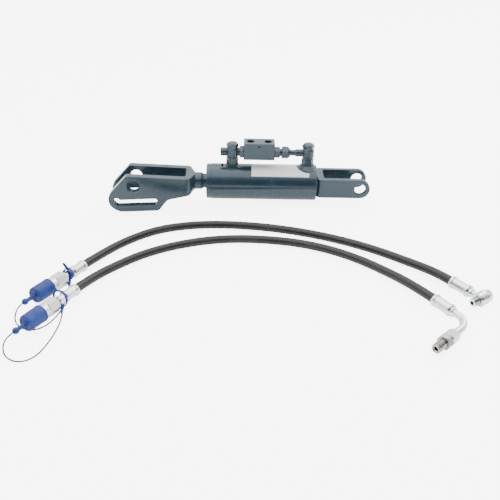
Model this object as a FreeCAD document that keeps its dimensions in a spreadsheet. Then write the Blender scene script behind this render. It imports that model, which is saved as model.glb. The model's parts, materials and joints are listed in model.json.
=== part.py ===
import FreeCAD, Part
import Sketcher
import math
import os
import re

# Hydraulic lift arm for a tractor's three-point linkage, with its pair of hoses lying in front of it.
# Arm frame: x runs along the arm's axis from the tube's rod-end face, y points away from the
# viewer and z is up. The whole arm is then laid on the floor: it rests on the rod fork's lower
# edges and on the tube's base end, so its axis falls towards the fixed fork.

V = FreeCAD.Vector
doc = FreeCAD.newDocument("lift_arm")
sheet = doc.addObject("Spreadsheet::Sheet", "Sizes")
nodes = {}
floor_nodes = set()

# Driving sizes, in millimetres and degrees
SIZES = {
    # Barrel
    "tube_length": 231,
    "tube_bore_d": 60,
    "tube_wall": 7.5,
    "tube_edge": 1.5,
    "gland_flange_length": 10,
    "gland_flange_step": 0.7,
    "gland_land_end": 46,
    "gland_nose": 62,
    "gallery_d": 47,
    "static_fit": 0.05,
    "running_fit": 0.06,
    "wire_behind_land": 13,
    "wire_d": 4,
    "wire_slot_length": 16,
    "ring_behind_land": 6,
    "gland_ring_section": 3.4,
    "wiper_length": 6,
    "wiper_outer_d": 40,
    "rod_seal_start": 9,
    "rod_seal_length": 7,
    "rod_seal_outer_d": 41,
    "bush_start": 19,
    "bush_length": 18,
    "bush_wall": 2.5,
    "plug_thickness": 13.5,
    # Rod and piston
    "rod_d": 30,
    "spigot_d": 20,
    "rod_weld_length": 3.5,
    "piston_length": 30,
    "piston_nut_length": 14.5,
    "piston_nut_flats": 30,
    "stop_gap": 0.5,
    "piston_end_play": 0.03,
    "piston_seal_length": 10,
    "piston_seal_depth": 5,
    "guide_ring_length": 6,
    "guide_ring_depth": 2.5,
    # Rod fork: two plates with a pin bore and a float slot, drawn together into a round neck
    "fork_pin_place": 151.4,
    "fork_width": 71,
    "fork_plate": 14.5,
    "fork_pin_bore_d": 25.5,
    "pin_edge": 1.2,
    "fork_gap_end": 43,
    "fork_gap_corner": 5,
    "fork_arch_radius": 16,
    "neck_d": 36,
    "neck_end": 10,
    "neck_start": 23,
    "fork_top_left": 22.5,
    "fork_top_right": 18.2,
    "fork_brow_place": 165.5,
    "fork_heel_depth": 60,
    "fork_heel_place": 186,
    "fork_floor_slope": 3.1,
    "fork_brow_slope": 51,
    "fork_toe_place": 100,
    "fork_toe_slope": 52.5,
    "fork_shin_place": 80.5,
    "fork_shin_depth": 29.8,
    "fork_heel_radius": 27,
    "fork_toe_radius": 12,
    "fork_shin_radius": 16,
    "fork_brow_radius": 7,
    "slot_width": 15,
    "slot_right": 109,
    "slot_left": 184,
    "slot_depth": 38.5,
    "slot_hook_length": 11,
    "slot_hook_angle": 42,
    # Fixed fork: a bent flat bar welded to the tube's base end
    "clevis_width": 63,
    "clevis_prong": 10,
    "clevis_height": 41,
    "clevis_base": 15,
    "clevis_pin_place": 91,
    "clevis_pin_bore_d": 22.5,
    "clevis_corner": 11,
    "clevis_inner_corner": 3,
    "fork_bead": 4,
    # Ports and the bridge between them
    "rod_port_place": 53.7,
    "base_port_place": 211,
    "port_drill_d": 8,
    "boss_d": 24,
    "boss_rise": 4.5,
    "rod_port_bead_d": 31,
    "base_port_bead_d": 42,
    "port_bead_top_d": 26,
    "riser_flats": 22,
    "riser_height": 14,
    "thread_d": 16.6,
    "thread_fit": 0.05,
    "washer_thickness": 1.2,
    "banjo_d": 25,
    "banjo_height": 20,
    "banjo_bore_fit": 0.3,
    "banjo_groove_d": 21,
    "banjo_bolt_head": 10,
    "banjo_bolt_flats": 22,
    "bolt_hollow_d": 7,
    "flow_d": 6,
    "blind_arm_length": 24.6,
    "blind_arm_d": 17.6,
    "lock_nut_flats": 24,
    "lock_nut_length": 8.6,
    # Pilot-operated double check valve
    "block_start": 77.1,
    "block_length": 64,
    "block_depth": 32,
    "block_height": 35.5,
    "block_below_axis": 11.7,
    "block_edge": 0.8,
    "top_port_spacing": 36,
    "top_port_d": 15,
    "top_port_depth": 13,
    "block_hole_d": 7,
    "block_hole_drop": 5.5,
    "side_thread_depth": 9,
    "valve_bore_d": 14,
    "pilot_land": 4,
    "pilot_pin_d": 3.6,
    "pilot_reach": 8.2,
    "pilot_ring_section": 1.8,
    "seat_inner": 8,
    "seat_thickness": 3,
    "seat_bore_d": 7,
    "poppet_tip": 9.5,
    "poppet_d": 11,
    "poppet_cone": 3,
    "poppet_back": 17,
    "poppet_stem_d": 4,
    "poppet_stem_length": 2,
    "check_spring_wire": 0.9,
    "cross_drill_d": 5,
    # Pipe between the valve and the base-end port
    "stud_hex_length": 11.5,
    "stud_flats": 22,
    "stud_neck_length": 3.5,
    "stud_nose_d": 18,
    "stud_nose_length": 10,
    "union_nut_length": 17,
    "union_nut_flats": 24,
    "pipe_d": 12,
    "pipe_wall": 1.5,
    "cutting_ring_length": 6,
    "banjo_sleeve_length": 17,
    "banjo_sleeve_d": 15.6,
    # Hoses and what is crimped on them
    "hose_d": 16,
    "ferrule_d": 21,
    "ferrule_length": 32,
    "ferrule_long": 40,
    "ferrule_step": 1.2,
    "plug_neck_d": 16,
    "plug_hex_start": 52,
    "plug_hex_length": 23,
    "plug_hex_flats": 25,
    "plug_collar_d": 27,
    "plug_nose_start": 86,
    "plug_nose_d": 23.6,
    "plug_nose_length": 29,
    "plug_valve_d": 13,
    "plug_valve_length": 18,
    "plug_valve_lead": 1,
    "plug_bore_d": 17,
    "plug_spring_room": 10,
    "cap_d": 30.6,
    "cap_length": 37,
    "cap_floor": 4,
    "cap_lip": 0.3,
    "cap_stem_d": 8,
    "cap_stem_length": 17,
    "cap_bead_d": 11.5,
    "cap_bead_length": 9,
    "strap_d": 2.6,
    "strap_ring_place": 40,
    "strap_ring_width": 5,
    "strap_ring_wall": 2.6,
    "soft_gap": 0.3,
    "eye_place": 62.3,
    "eye_d": 24,
    "eye_width": 16,
    "eye_neck_d": 12,
    "hollow_bolt_d": 14,
    "hollow_bolt_flats": 19,
    "hollow_bolt_head": 9,
    "hollow_bolt_tip": 22,
    "hollow_bolt_bore_d": 7,
    "hollow_washer": 1.5,
    "hollow_bolt_relief": 0.2,
    "hollow_thread_runout": 0.5,
    "elbow_lead": 11,
    "elbow_radius": 30,
    "elbow_turn": 78,
    "elbow_pipe_d": 12,
    "elbow_tail": 32,
    "swivel_nut_flats": 19,
    "swivel_nut_length": 16,
    "swivel_nut_lap": 1,
    "male_neck_d": 14,
    "male_hex_flats": 22,
    "male_hex_start": 37,
    "male_hex_length": 11,
    "male_thread_d": 16,
    "male_thread_length": 20,
    "male_bore_d": 7,
}
for row, (alias, number) in enumerate(SIZES.items(), start=1):
    sheet.set("A%d" % row, str(number))
    sheet.setAlias("A%d" % row, alias)
doc.recompute()


def bound(text):
    """The same text with each alias written as the sheet's cell."""

    def in_sheet(word):
        return "Sizes." + word.group() if word.group() in SIZES else word.group()

    return re.sub(r"[A-Za-z_]\w*", in_sheet, text)


def value(text):
    return float(sheet.evalExpression(text))


def origin_plane(body, role):
    return [o for o in body.Origin.OriginFeatures if o.Role == role][0]


def sketch_on(body, role, name):
    sketch = body.newObject("Sketcher::SketchObject", name)
    sketch.AttachmentSupport = [(origin_plane(body, role), "")]
    sketch.MapMode = "FlatFace"
    return sketch


def polygon(sketch, corners):
    """A closed outline whose corners are pairs of expressions, each bound to the sheet."""
    points = [V(value(a), value(b), 0) for a, b in corners]
    count = len(points)
    lines = []
    for start, end in zip(points, points[1:] + points[:1]):
        lines.append(sketch.addGeometry(Part.LineSegment(start, end), False))
    for i in range(count):
        sketch.addConstraint(Sketcher.Constraint("Coincident", lines[i], 2, lines[(i + 1) % count], 1))
    for line, point, corner in zip(lines, points, corners):
        across = sketch.addConstraint(Sketcher.Constraint("DistanceX", -1, 1, line, 1, point.x))
        sketch.setExpression("Constraints[%d]" % across, bound(corner[0]))
        up = sketch.addConstraint(Sketcher.Constraint("DistanceY", -1, 1, line, 1, point.y))
        sketch.setExpression("Constraints[%d]" % up, bound(corner[1]))


def turned(name, profile, place=None):
    """A body turned about its own x axis: the profile gives places along it and radii."""
    body = doc.addObject("PartDesign::Body", name)
    sketch = sketch_on(body, "XZ_Plane", name + "_profile")
    polygon(sketch, profile)
    turn = body.newObject("PartDesign::Revolution", name + "_turn")
    turn.Profile = sketch
    turn.ReferenceAxis = (sketch, ["H_Axis"])
    turn.Angle = 360
    if place is not None:
        body.Placement = place
    return body


def padded(name, role, outline, thickness, rounds=()):
    """A flat shape drawn on a plane and thickened to both sides, with some corners rounded."""
    body = doc.addObject("PartDesign::Body", name)
    sketch = sketch_on(body, role, name + "_outline")
    polygon(sketch, outline)
    last = body.newObject("PartDesign::Pad", name + "_pad")
    last.Profile = sketch
    last.setExpression("Length", bound(thickness))
    last.Midplane = True
    doc.recompute()
    for number, (radius, corners) in enumerate(rounds):
        found = []
        for corner in corners:
            place = V(value(outline[corner][0]), value(outline[corner][1]), 0)
            place = sketch.Placement.multVec(place)
            across = sketch.Placement.Rotation.multVec(V(0, 0, 1))
            for index, edge in enumerate(last.Shape.Edges):
                ends = [v.Point - place for v in edge.Vertexes]
                if len(ends) == 2 and all(e.cross(across).Length < 1e-3 for e in ends):
                    found.append("Edge%d" % (index + 1))
        rounding = body.newObject("PartDesign::Fillet", "%s_round_%d" % (name, number + 1))
        rounding.Base = (last, found)
        rounding.setExpression("Radius", bound(radius))
        last = rounding
        doc.recompute()
    return body


def cylinder(name, diameter, length, place):
    rod = doc.addObject("Part::Cylinder", name)
    rod.setExpression("Radius", bound("(%s) / 2" % diameter))
    rod.setExpression("Height", bound(length))
    rod.Placement = place
    return rod


def hexagon(name, flats, length, place):
    bar = doc.addObject("Part::Prism", name)
    bar.Polygon = 6
    bar.setExpression("Circumradius", bound("(%s) / 2 / cos(30)" % flats))
    bar.setExpression("Height", bound(length))
    bar.Placement = place
    return bar


def cut(name, base, *tools):
    tool = tools[0] if len(tools) == 1 else fused(name + "_tools", *tools)
    result = doc.addObject("Part::Cut", name)
    result.Base = base
    result.Tool = tool
    return result


def fused(name, *pieces):
    result = doc.addObject("Part::MultiFuse", name)
    result.Shapes = list(pieces)
    return result


def shared(name, *pieces):
    result = doc.addObject("Part::MultiCommon", name)
    result.Shapes = list(pieces)
    return result


def keep(label, piece, on_floor=False):
    """Names a sub-part. on_floor is for what lies in front of the arm, already in the floor's frame."""
    piece.Label = label
    nodes[label] = piece
    if on_floor:
        floor_nodes.add(label)
    return piece


ALONG = FreeCAD.Rotation(V(0, 1, 0), 90)
UP = FreeCAD.Rotation(V(0, 1, 0), -90)
FLAT_DOWN = FreeCAD.Placement(V(0, 0, 0), FreeCAD.Rotation(V(1, 0, 0), 30))
HALF_TURN = FreeCAD.Rotation(V(0, 0, 1), 180)
HALF_ROLL = FreeCAD.Rotation(V(1, 0, 0), 180)


def at(along, height="0", rotation=None):
    """A place on the arm's middle plane."""
    return FreeCAD.Placement(V(value(along), 0, value(height)), rotation or FreeCAD.Rotation())


def upright(along):
    """Local x points up, from the arm's axis."""
    return at(along, "0", UP)


def across_bore(name, diameter, width, place, edge="pin_edge"):
    """A tool for a bore along y through the given width, with both mouths chamfered."""
    half = "(%s) / 2" % width
    radius = "(%s) / 2" % diameter
    wide = "%s + %s" % (radius, edge)
    over = "%s + 5" % half
    profile = [
        ("-(%s)" % over, "0"),
        ("-(%s)" % over, wide),
        ("-(%s)" % half, wide),
        ("-(%s) + %s" % (half, edge), radius),
        ("%s - %s" % (half, edge), radius),
        (half, wide),
        (over, wide),
        (over, "0"),
    ]
    turn = FreeCAD.Rotation(V(0, 0, 1), 90)
    return turned(name, profile, FreeCAD.Placement(place, turn))


def ring_profile(start, end, inner, outer, edge=None):
    """Radii and places of a plain ring, its outer corners cut by edge."""
    if edge is None:
        return [(start, inner), (start, outer), (end, outer), (end, inner)]
    return [
        (start, inner),
        (start, "%s - %s" % (outer, edge)),
        ("%s + %s" % (start, edge), outer),
        ("%s - %s" % (end, edge), outer),
        (end, "%s - %s" % (outer, edge)),
        (end, inner),
    ]


def nut(name, flats, start, end, bore_radius, place=None, edge=None):
    """A hexagon with turned corners, bored through, along local x."""
    cone = "(%s) * 0.09" % flats if edge is None else edge
    corner = "(%s) / 2 / cos(30)" % flats
    inner = "(%s) / 2 * 0.96" % flats
    body = turned(
        name + "_turned",
        [
            (start, bore_radius),
            (start, inner),
            ("%s + %s" % (start, cone), corner),
            ("%s - %s" % (end, cone), corner),
            (end, inner),
            (end, bore_radius),
        ],
    )
    bar = hexagon(name + "_bar", flats, "(%s) - (%s)" % (end, start), at(start, "0", ALONG))
    result = shared(name, body, bar)
    if place is not None:
        result.Placement = place
    return result


# Gland: the screwed-in head that guides and seals the rod
TUBE_OD = "(tube_bore_d + tube_wall * 2)"
WIRE_PLACE = "(gland_land_end - wire_behind_land)"
RING_PLACE = "(gland_land_end - ring_behind_land)"
TUBE_R = f"({TUBE_OD} / 2)"
BOSS_TOP = f"({TUBE_R} + boss_rise)"
PORT_AXIS = f"({BOSS_TOP} + riser_height + washer_thickness + banjo_height / 2)"
BORE_R = "tube_bore_d / 2"
ROD_R = "rod_d / 2"
LAND_R = "(tube_bore_d / 2 - static_fit)"
WIRE_GROOVE = "(wire_d / 2 + static_fit)"
BUSH_END = "bush_start + bush_length"
CLEAR_R = "(rod_d / 2 + 0.5)"


def make_gland():
    ring_half = "(gland_ring_section / 2)"
    profile = [
        ("0", "wiper_outer_d / 2"),
        ("0", TUBE_R + " - gland_flange_step - tube_edge"),
        ("tube_edge", TUBE_R + " - gland_flange_step"),
        ("gland_flange_length", TUBE_R + " - gland_flange_step"),
        ("gland_flange_length", LAND_R),
        (WIRE_PLACE + " - " + WIRE_GROOVE, LAND_R),
        (WIRE_PLACE + " - " + WIRE_GROOVE, BORE_R + " - " + WIRE_GROOVE),
        (WIRE_PLACE + " + " + WIRE_GROOVE, BORE_R + " - " + WIRE_GROOVE),
        (WIRE_PLACE + " + " + WIRE_GROOVE, LAND_R),
        (RING_PLACE + " - " + ring_half, LAND_R),
        (RING_PLACE + " - " + ring_half, LAND_R + " - gland_ring_section"),
        (RING_PLACE + " + " + ring_half, LAND_R + " - gland_ring_section"),
        (RING_PLACE + " + " + ring_half, LAND_R),
        ("gland_land_end", LAND_R),
        ("gland_land_end", "gallery_d / 2"),
        ("gland_nose", "gallery_d / 2"),
        ("gland_nose", CLEAR_R),
        (BUSH_END, CLEAR_R),
        (BUSH_END, ROD_R + " + bush_wall"),
        ("bush_start", ROD_R + " + bush_wall"),
        ("bush_start", CLEAR_R),
        ("rod_seal_start + rod_seal_length", CLEAR_R),
        ("rod_seal_start + rod_seal_length", "rod_seal_outer_d / 2"),
        ("rod_seal_start", "rod_seal_outer_d / 2"),
        ("rod_seal_start", CLEAR_R),
        ("wiper_length", CLEAR_R),
        ("wiper_length", "wiper_outer_d / 2"),
    ]
    keep("gland", turned("Gland", profile))
    lip = ROD_R + " + running_fit"
    wiper = [
        ("-1.2", lip),
        ("-1.2", lip + " + 0.8"),
        ("0.5", lip + " + 2.6"),
        ("0", "wiper_outer_d / 2 - static_fit"),
        ("wiper_length - static_fit", "wiper_outer_d / 2 - static_fit"),
        ("wiper_length - static_fit", lip + " + 1"),
        ("2", lip + " + 1"),
    ]
    keep("wiper_ring", turned("Wiper", wiper))
    seal_start = "rod_seal_start + static_fit"
    seal_end = "rod_seal_start + rod_seal_length - static_fit"
    seal_outer = "rod_seal_outer_d / 2 - static_fit"
    seal = [
        (seal_start, lip),
        (seal_start, seal_outer),
        (seal_end, seal_outer),
        (seal_end, seal_outer + " - 1.4"),
        (seal_end + " - 2.5", "(rod_d + rod_seal_outer_d) / 4"),
        (seal_end, lip + " + 1.4"),
        (seal_end, lip),
    ]
    keep("rod_seal", turned("Rod_seal", seal))
    outer = ROD_R + " + bush_wall - static_fit"
    bush = ring_profile("bush_start + static_fit", BUSH_END + " - static_fit", lip, outer)
    keep("rod_guide_bush", turned("Guide_bush", bush))
    wire = doc.addObject("Part::Torus", "Lock_wire")
    wire.setExpression("Radius1", bound(BORE_R))
    wire.setExpression("Radius2", bound("wire_d / 2"))
    wire.Placement = at(WIRE_PLACE, "0", ALONG)
    keep("gland_lock_wire", wire)
    ring = ring_profile(
        f"{RING_PLACE} - gland_ring_section / 2 + static_fit",
        f"{RING_PLACE} + gland_ring_section / 2 - static_fit",
        LAND_R + " - gland_ring_section + static_fit",
        BORE_R + " - 0.02",
        "gland_ring_section * 0.3",
    )
    keep("gland_o_ring", turned("Gland_ring", ring))


# Tube and base plug
PLUG_FACE = "(tube_length - plug_thickness)"


def make_tube():
    groove_r = BORE_R + " + " + WIRE_GROOVE
    profile = [
        ("gland_flange_length", BORE_R),
        ("gland_flange_length", TUBE_R + " - tube_edge / 2"),
        ("gland_flange_length + tube_edge / 2", TUBE_R),
        ("tube_length - tube_edge", TUBE_R),
        ("tube_length", TUBE_R + " - tube_edge"),
        ("tube_length", BORE_R),
        (WIRE_PLACE + " + " + WIRE_GROOVE, BORE_R),
        (WIRE_PLACE + " + " + WIRE_GROOVE, groove_r),
        (WIRE_PLACE + " - " + WIRE_GROOVE, groove_r),
        (WIRE_PLACE + " - " + WIRE_GROOVE, BORE_R),
    ]
    tube = turned("Tube", profile)
    drills = [
        cylinder("Tube_drill_%d" % i, "port_drill_d", TUBE_OD, at(place))
        for i, place in enumerate(("rod_port_place", "base_port_place"))
    ]
    slot = doc.addObject("Part::Box", "Wire_slot")
    slot.setExpression("Length", bound("wire_d"))
    slot.setExpression("Width", bound("wire_slot_length"))
    slot.setExpression("Height", bound(TUBE_R))
    across = -value("wire_slot_length") / 2
    corner = V(value(f"{WIRE_PLACE} - wire_d / 2"), across, value("tube_bore_d / 2 + 0.5"))
    slot.Placement = FreeCAD.Placement(corner, FreeCAD.Rotation())
    keep("cylinder_tube", cut("Cylinder_tube", tube, slot, *drills))
    plug = ring_profile(PLUG_FACE, "tube_length", "0", LAND_R, "1")
    keep("base_plug", turned("Base_plug", plug))


# Piston and rod
PISTON_START = "(tube_length - plug_thickness - stop_gap - piston_nut_length - piston_length)"
PISTON_END = "(tube_length - plug_thickness - stop_gap - piston_nut_length)"
NUT_END = "(tube_length - plug_thickness - stop_gap)"
PISTON_R = "(tube_bore_d / 2 - running_fit - 0.02)"
SPIGOT_R = "spigot_d / 2"
SPIGOT_BORE = "(spigot_d / 2 + running_fit)"
PISTON_MIDDLE = "((%s + %s) / 2)" % (PISTON_START, PISTON_END)
GUIDE_OFFSET = "(piston_length / 2 - guide_ring_length / 2 - 2)"


def make_piston():
    grooves = [
        (PISTON_MIDDLE + " - " + GUIDE_OFFSET, "guide_ring_length", "guide_ring_depth"),
        (PISTON_MIDDLE, "piston_seal_length", "piston_seal_depth"),
        (PISTON_MIDDLE + " + " + GUIDE_OFFSET, "guide_ring_length", "guide_ring_depth"),
    ]
    profile = [
        (PISTON_START, SPIGOT_BORE),
        (PISTON_START, PISTON_R + " - 1"),
        (PISTON_START + " + 1", PISTON_R),
    ]
    for middle, length, depth in grooves:
        low = "%s - %s / 2" % (middle, length)
        high = "%s + %s / 2" % (middle, length)
        floor = "%s - %s" % (PISTON_R, depth)
        profile += [(low, PISTON_R), (low, floor), (high, floor), (high, PISTON_R)]
    profile += [(PISTON_END + " - 1", PISTON_R), (PISTON_END, PISTON_R + " - 1"), (PISTON_END, SPIGOT_BORE)]
    keep("piston", turned("Piston", profile))

    def band(name, groove, outer, edge):
        middle, length, depth = groove
        low = "%s - %s / 2 + static_fit" % (middle, length)
        high = "%s + %s / 2 - static_fit" % (middle, length)
        inner = "%s - %s + static_fit" % (PISTON_R, depth)
        return turned(name, ring_profile(low, high, inner, outer, edge))

    outer = BORE_R + " - running_fit"
    keep("piston_seal", band("Piston_seal", grooves[1], outer, "1.2"))
    guides = [band("Guide_ring_%d" % i, grooves[i], outer, "0.4") for i in (0, 2)]
    keep("piston_guide_rings", fused("Guide_rings", *guides))
    keep("piston_nut", nut("Piston_nut", "piston_nut_flats", PISTON_END, NUT_END, SPIGOT_BORE))
    rod = [
        ("-(neck_end + neck_start) + 1", "0"),
        ("-(neck_end + neck_start) + 1", SPIGOT_R),
        ("-neck_end", SPIGOT_R),
        ("-neck_end", ROD_R),
        (PISTON_START + " - piston_end_play", ROD_R),
        (PISTON_START + " - piston_end_play", SPIGOT_R),
        (NUT_END + " - 1", SPIGOT_R),
        (NUT_END, SPIGOT_R + " - 1"),
        (NUT_END, "0"),
    ]
    keep("piston_rod", turned("Rod", rod))
    bead = [
        ("-neck_end", ROD_R + " + 0.02"),
        ("-neck_end", "neck_d / 2 - 0.8"),
        ("-neck_end + rod_weld_length * 0.6", "rod_d / 2 + 1.6"),
        ("-neck_end + rod_weld_length", ROD_R + " + 0.02"),
    ]
    keep("rod_weld_bead", turned("Rod_bead", bead))


# Rod fork
def fork_line(slope, place, depth):
    """A straight edge of the fork's side as the depth at a given place, from its slope."""
    return lambda x: "(%s + (%s - (%s)) * tan(%s))" % (depth, x, place, slope)


FLOOR_EDGE = fork_line("fork_floor_slope", "-fork_heel_place", "-fork_heel_depth")
# where the sloping front edge of the plates, carried on, meets the floor edge
BROW_DROP = "(fork_top_left + fork_heel_depth)"
HEEL_RUN = "(fork_brow_place - fork_heel_place) * tan(fork_floor_slope)"
HEEL_CORNER = "(-fork_brow_place - (%s + %s) / %s)" % (
    BROW_DROP,
    HEEL_RUN,
    "(tan(fork_brow_slope) - tan(fork_floor_slope))",
)
# where the toe's slope, carried on from the shin, meets the floor edge
SHIN_LINE = fork_line("fork_toe_slope", "-fork_shin_place", "-fork_shin_depth")
TOE_CORNER = "(-fork_shin_place - (fork_heel_depth - fork_shin_depth - %s) / (%s))" % (
    "(fork_heel_place - fork_shin_place) * tan(fork_floor_slope)",
    "tan(fork_toe_slope) - tan(fork_floor_slope)",
)


def make_rod_fork():
    side = [
        ("-fork_brow_place", "fork_top_left"),
        (HEEL_CORNER, FLOOR_EDGE(HEEL_CORNER)),
        (TOE_CORNER, FLOOR_EDGE(TOE_CORNER)),
        ("-fork_shin_place", "-fork_shin_depth"),
        ("-fork_gap_end", "-neck_d / 2 - 3"),
        ("-neck_end - neck_start * 0.6", "-neck_d / 2"),
        ("-neck_end - neck_start * 0.6", "neck_d / 2"),
        ("-fork_gap_end", "fork_top_right"),
    ]
    rounds = [
        ("fork_heel_radius", [1]),
        ("fork_brow_radius", [0]),
        ("fork_toe_radius", [2]),
        ("fork_shin_radius", [3]),
    ]
    flank = padded("Fork_side", "XZ_Plane", side, "fork_width", rounds)
    half = "fork_width / 2"
    front = HEEL_CORNER + " - 5"
    arch = "-fork_gap_end + 6"
    plan = [
        (front, "-(%s)" % half),
        (arch, "-(%s)" % half),
        ("-neck_end - neck_start * 0.6", "-neck_d / 2"),
        ("-neck_end - neck_start * 0.6", "neck_d / 2"),
        (arch, half),
        (front, half),
    ]
    cover = padded("Fork_plan", "XY_Plane", plan, "fork_heel_depth * 3", [("fork_arch_radius", [1, 4])])
    neck = turned("Fork_neck", ring_profile("-fork_gap_end + 4", "-neck_end", "0", "neck_d / 2", "1.5"))
    gap_half = "(fork_width / 2 - fork_plate)"
    gap = [
        (front, "-" + gap_half),
        ("-fork_gap_end", "-" + gap_half),
        ("-fork_gap_end", gap_half),
        (front, gap_half),
    ]
    mouth = padded("Fork_gap", "XY_Plane", gap, "fork_heel_depth * 3", [("fork_gap_corner", [1, 2])])
    bore = across_bore("Fork_bore", "fork_pin_bore_d", "fork_width", V(-value("fork_pin_place"), 0, 0))
    slope = value("fork_floor_slope")
    right = V(-value("slot_right"), 0, -value("slot_depth") + 75 * math.tan(math.radians(slope)))
    length = value("slot_left - slot_right")
    left = right - V(length * math.cos(math.radians(slope)), 0, length * math.sin(math.radians(slope)))
    hook = value("slot_hook_angle")
    lean = math.radians(hook)
    tip = left + V(-math.cos(lean), 0, math.sin(lean)) * value("slot_hook_length")
    tools = [slot_leg("Slot_long", left, right), slot_leg("Slot_hook", tip, left)]
    socket = turned(
        "Rod_socket",
        ring_profile("-neck_end - neck_start + 0.5", "0", "0", "spigot_d / 2 + static_fit"),
    )
    blank = fused("Fork_blank", shared("Fork_forging", flank, cover), neck)
    keep("rod_fork", cut("Rod_fork", blank, mouth, bore, socket, *tools))


def slot_leg(name, start, end):
    """A round-ended slot through both plates, from one centre to the other."""
    wide = value("fork_width") + 10
    radius = value("slot_width") / 2
    run = end - start
    side = V(-run.z, 0, run.x).normalize() * radius
    lead = run.normalize() * radius
    back = V(0, -wide / 2, 0)
    edges = [
        Part.LineSegment(start + side, end + side).toShape(),
        Part.Arc(end + side, end + lead, end - side).toShape(),
        Part.LineSegment(end - side, start - side).toShape(),
        Part.Arc(start - side, start - lead, start + side).toShape(),
    ]
    face = Part.Face(Part.Wire(edges))
    leg = doc.addObject("Part::Feature", name)
    leg.Shape = face.extrude(V(0, wide, 0))
    leg.Placement = FreeCAD.Placement(back, FreeCAD.Rotation())
    return leg


# Fixed fork
def make_fixed_fork():
    end = "(tube_length + clevis_pin_place + clevis_height / 2)"
    half = "clevis_height / 2"
    side = [
        ("tube_length", "-(%s)" % half),
        (end, "-(%s)" % half),
        (end, half),
        ("tube_length", half),
    ]
    flank = padded("Clevis_side", "XZ_Plane", side, "clevis_width", [("clevis_height / 2 - 0.01", [1, 2])])
    wide = "clevis_width / 2"
    plan = [
        ("tube_length", "-(%s)" % wide),
        (end + " + 5", "-(%s)" % wide),
        (end + " + 5", wide),
        ("tube_length", wide),
    ]
    cover = padded("Clevis_plan", "XY_Plane", plan, "clevis_height * 2", [("clevis_corner", [0, 3])])
    inner = "(clevis_width / 2 - clevis_prong)"
    floor = "tube_length + clevis_base"
    gap = [(floor, "-" + inner), (end + " + 10", "-" + inner), (end + " + 10", inner), (floor, inner)]
    mouth = padded("Clevis_gap", "XY_Plane", gap, "clevis_height * 2", [("clevis_inner_corner", [0, 3])])
    place = V(value("tube_length + clevis_pin_place"), 0, 0)
    bore = across_bore("Clevis_bore", "clevis_pin_bore_d", "clevis_width", place, "pin_edge + 0.4")
    between = "clevis_width - clevis_prong * 2"
    inner_bore = across_bore("Clevis_inner_bore", "clevis_pin_bore_d", between, place)
    keep("fixed_fork", cut("Fixed_fork", shared("Clevis_bar", flank, cover), mouth, bore, inner_bore))


def make_beads():
    """The weld beads: round the fixed fork's foot and round both port bosses."""
    wide = "(clevis_width / 2 - clevis_corner)"
    tall = "(clevis_height / 2)"
    strip = [
        ("tube_length", tall),
        ("tube_length", tall + " + fork_bead"),
        ("tube_length + fork_bead", tall),
    ]
    beads = []
    for number, flip in enumerate((FreeCAD.Rotation(), HALF_ROLL)):
        body = doc.addObject("PartDesign::Body", "Fork_bead_%d" % number)
        sketch = sketch_on(body, "XZ_Plane", "Fork_bead_section_%d" % number)
        polygon(sketch, strip)
        pad = body.newObject("PartDesign::Pad", "Fork_bead_pad_%d" % number)
        pad.Profile = sketch
        pad.setExpression("Length", bound(wide + " * 2"))
        pad.Midplane = True
        body.Placement = FreeCAD.Placement(V(0, 0, 0), flip)
        beads.append(body)
    for port, foot in (("rod_port_place", "rod_port_bead_d"), ("base_port_place", "base_port_bead_d")):
        profile = [
            ("0", "boss_d / 2"),
            ("0", foot + " / 2"),
            (TUBE_R + " - 3", foot + " / 2"),
            (f"{BOSS_TOP} - 0.5", "port_bead_top_d / 2"),
            (f"{BOSS_TOP} - 0.5", "boss_d / 2"),
        ]
        cone = turned("Bead_" + port, profile, upright(port))
        middle = at("-tube_length / 2", "0", ALONG)
        barrel = cylinder("Bead_seat_" + port, TUBE_OD, "tube_length * 2", middle)
        beads.append(cut("Saddle_bead_" + port, cone, barrel))
    keep("weld_beads", fused("Weld_beads", *beads))


# Ports: boss, riser, banjo, hollow bolt and washers
RISER_TOP = f"({BOSS_TOP} + riser_height)"
BANJO_LOW = f"({BOSS_TOP} + riser_height + washer_thickness)"
BANJO_HIGH = f"({BOSS_TOP} + riser_height + washer_thickness + banjo_height)"
HEAD_LOW = f"({BOSS_TOP} + riser_height + washer_thickness * 2 + banjo_height)"
THREAD_R = "thread_d / 2"
THREAD_BORE = "(thread_d / 2 + thread_fit)"


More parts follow.
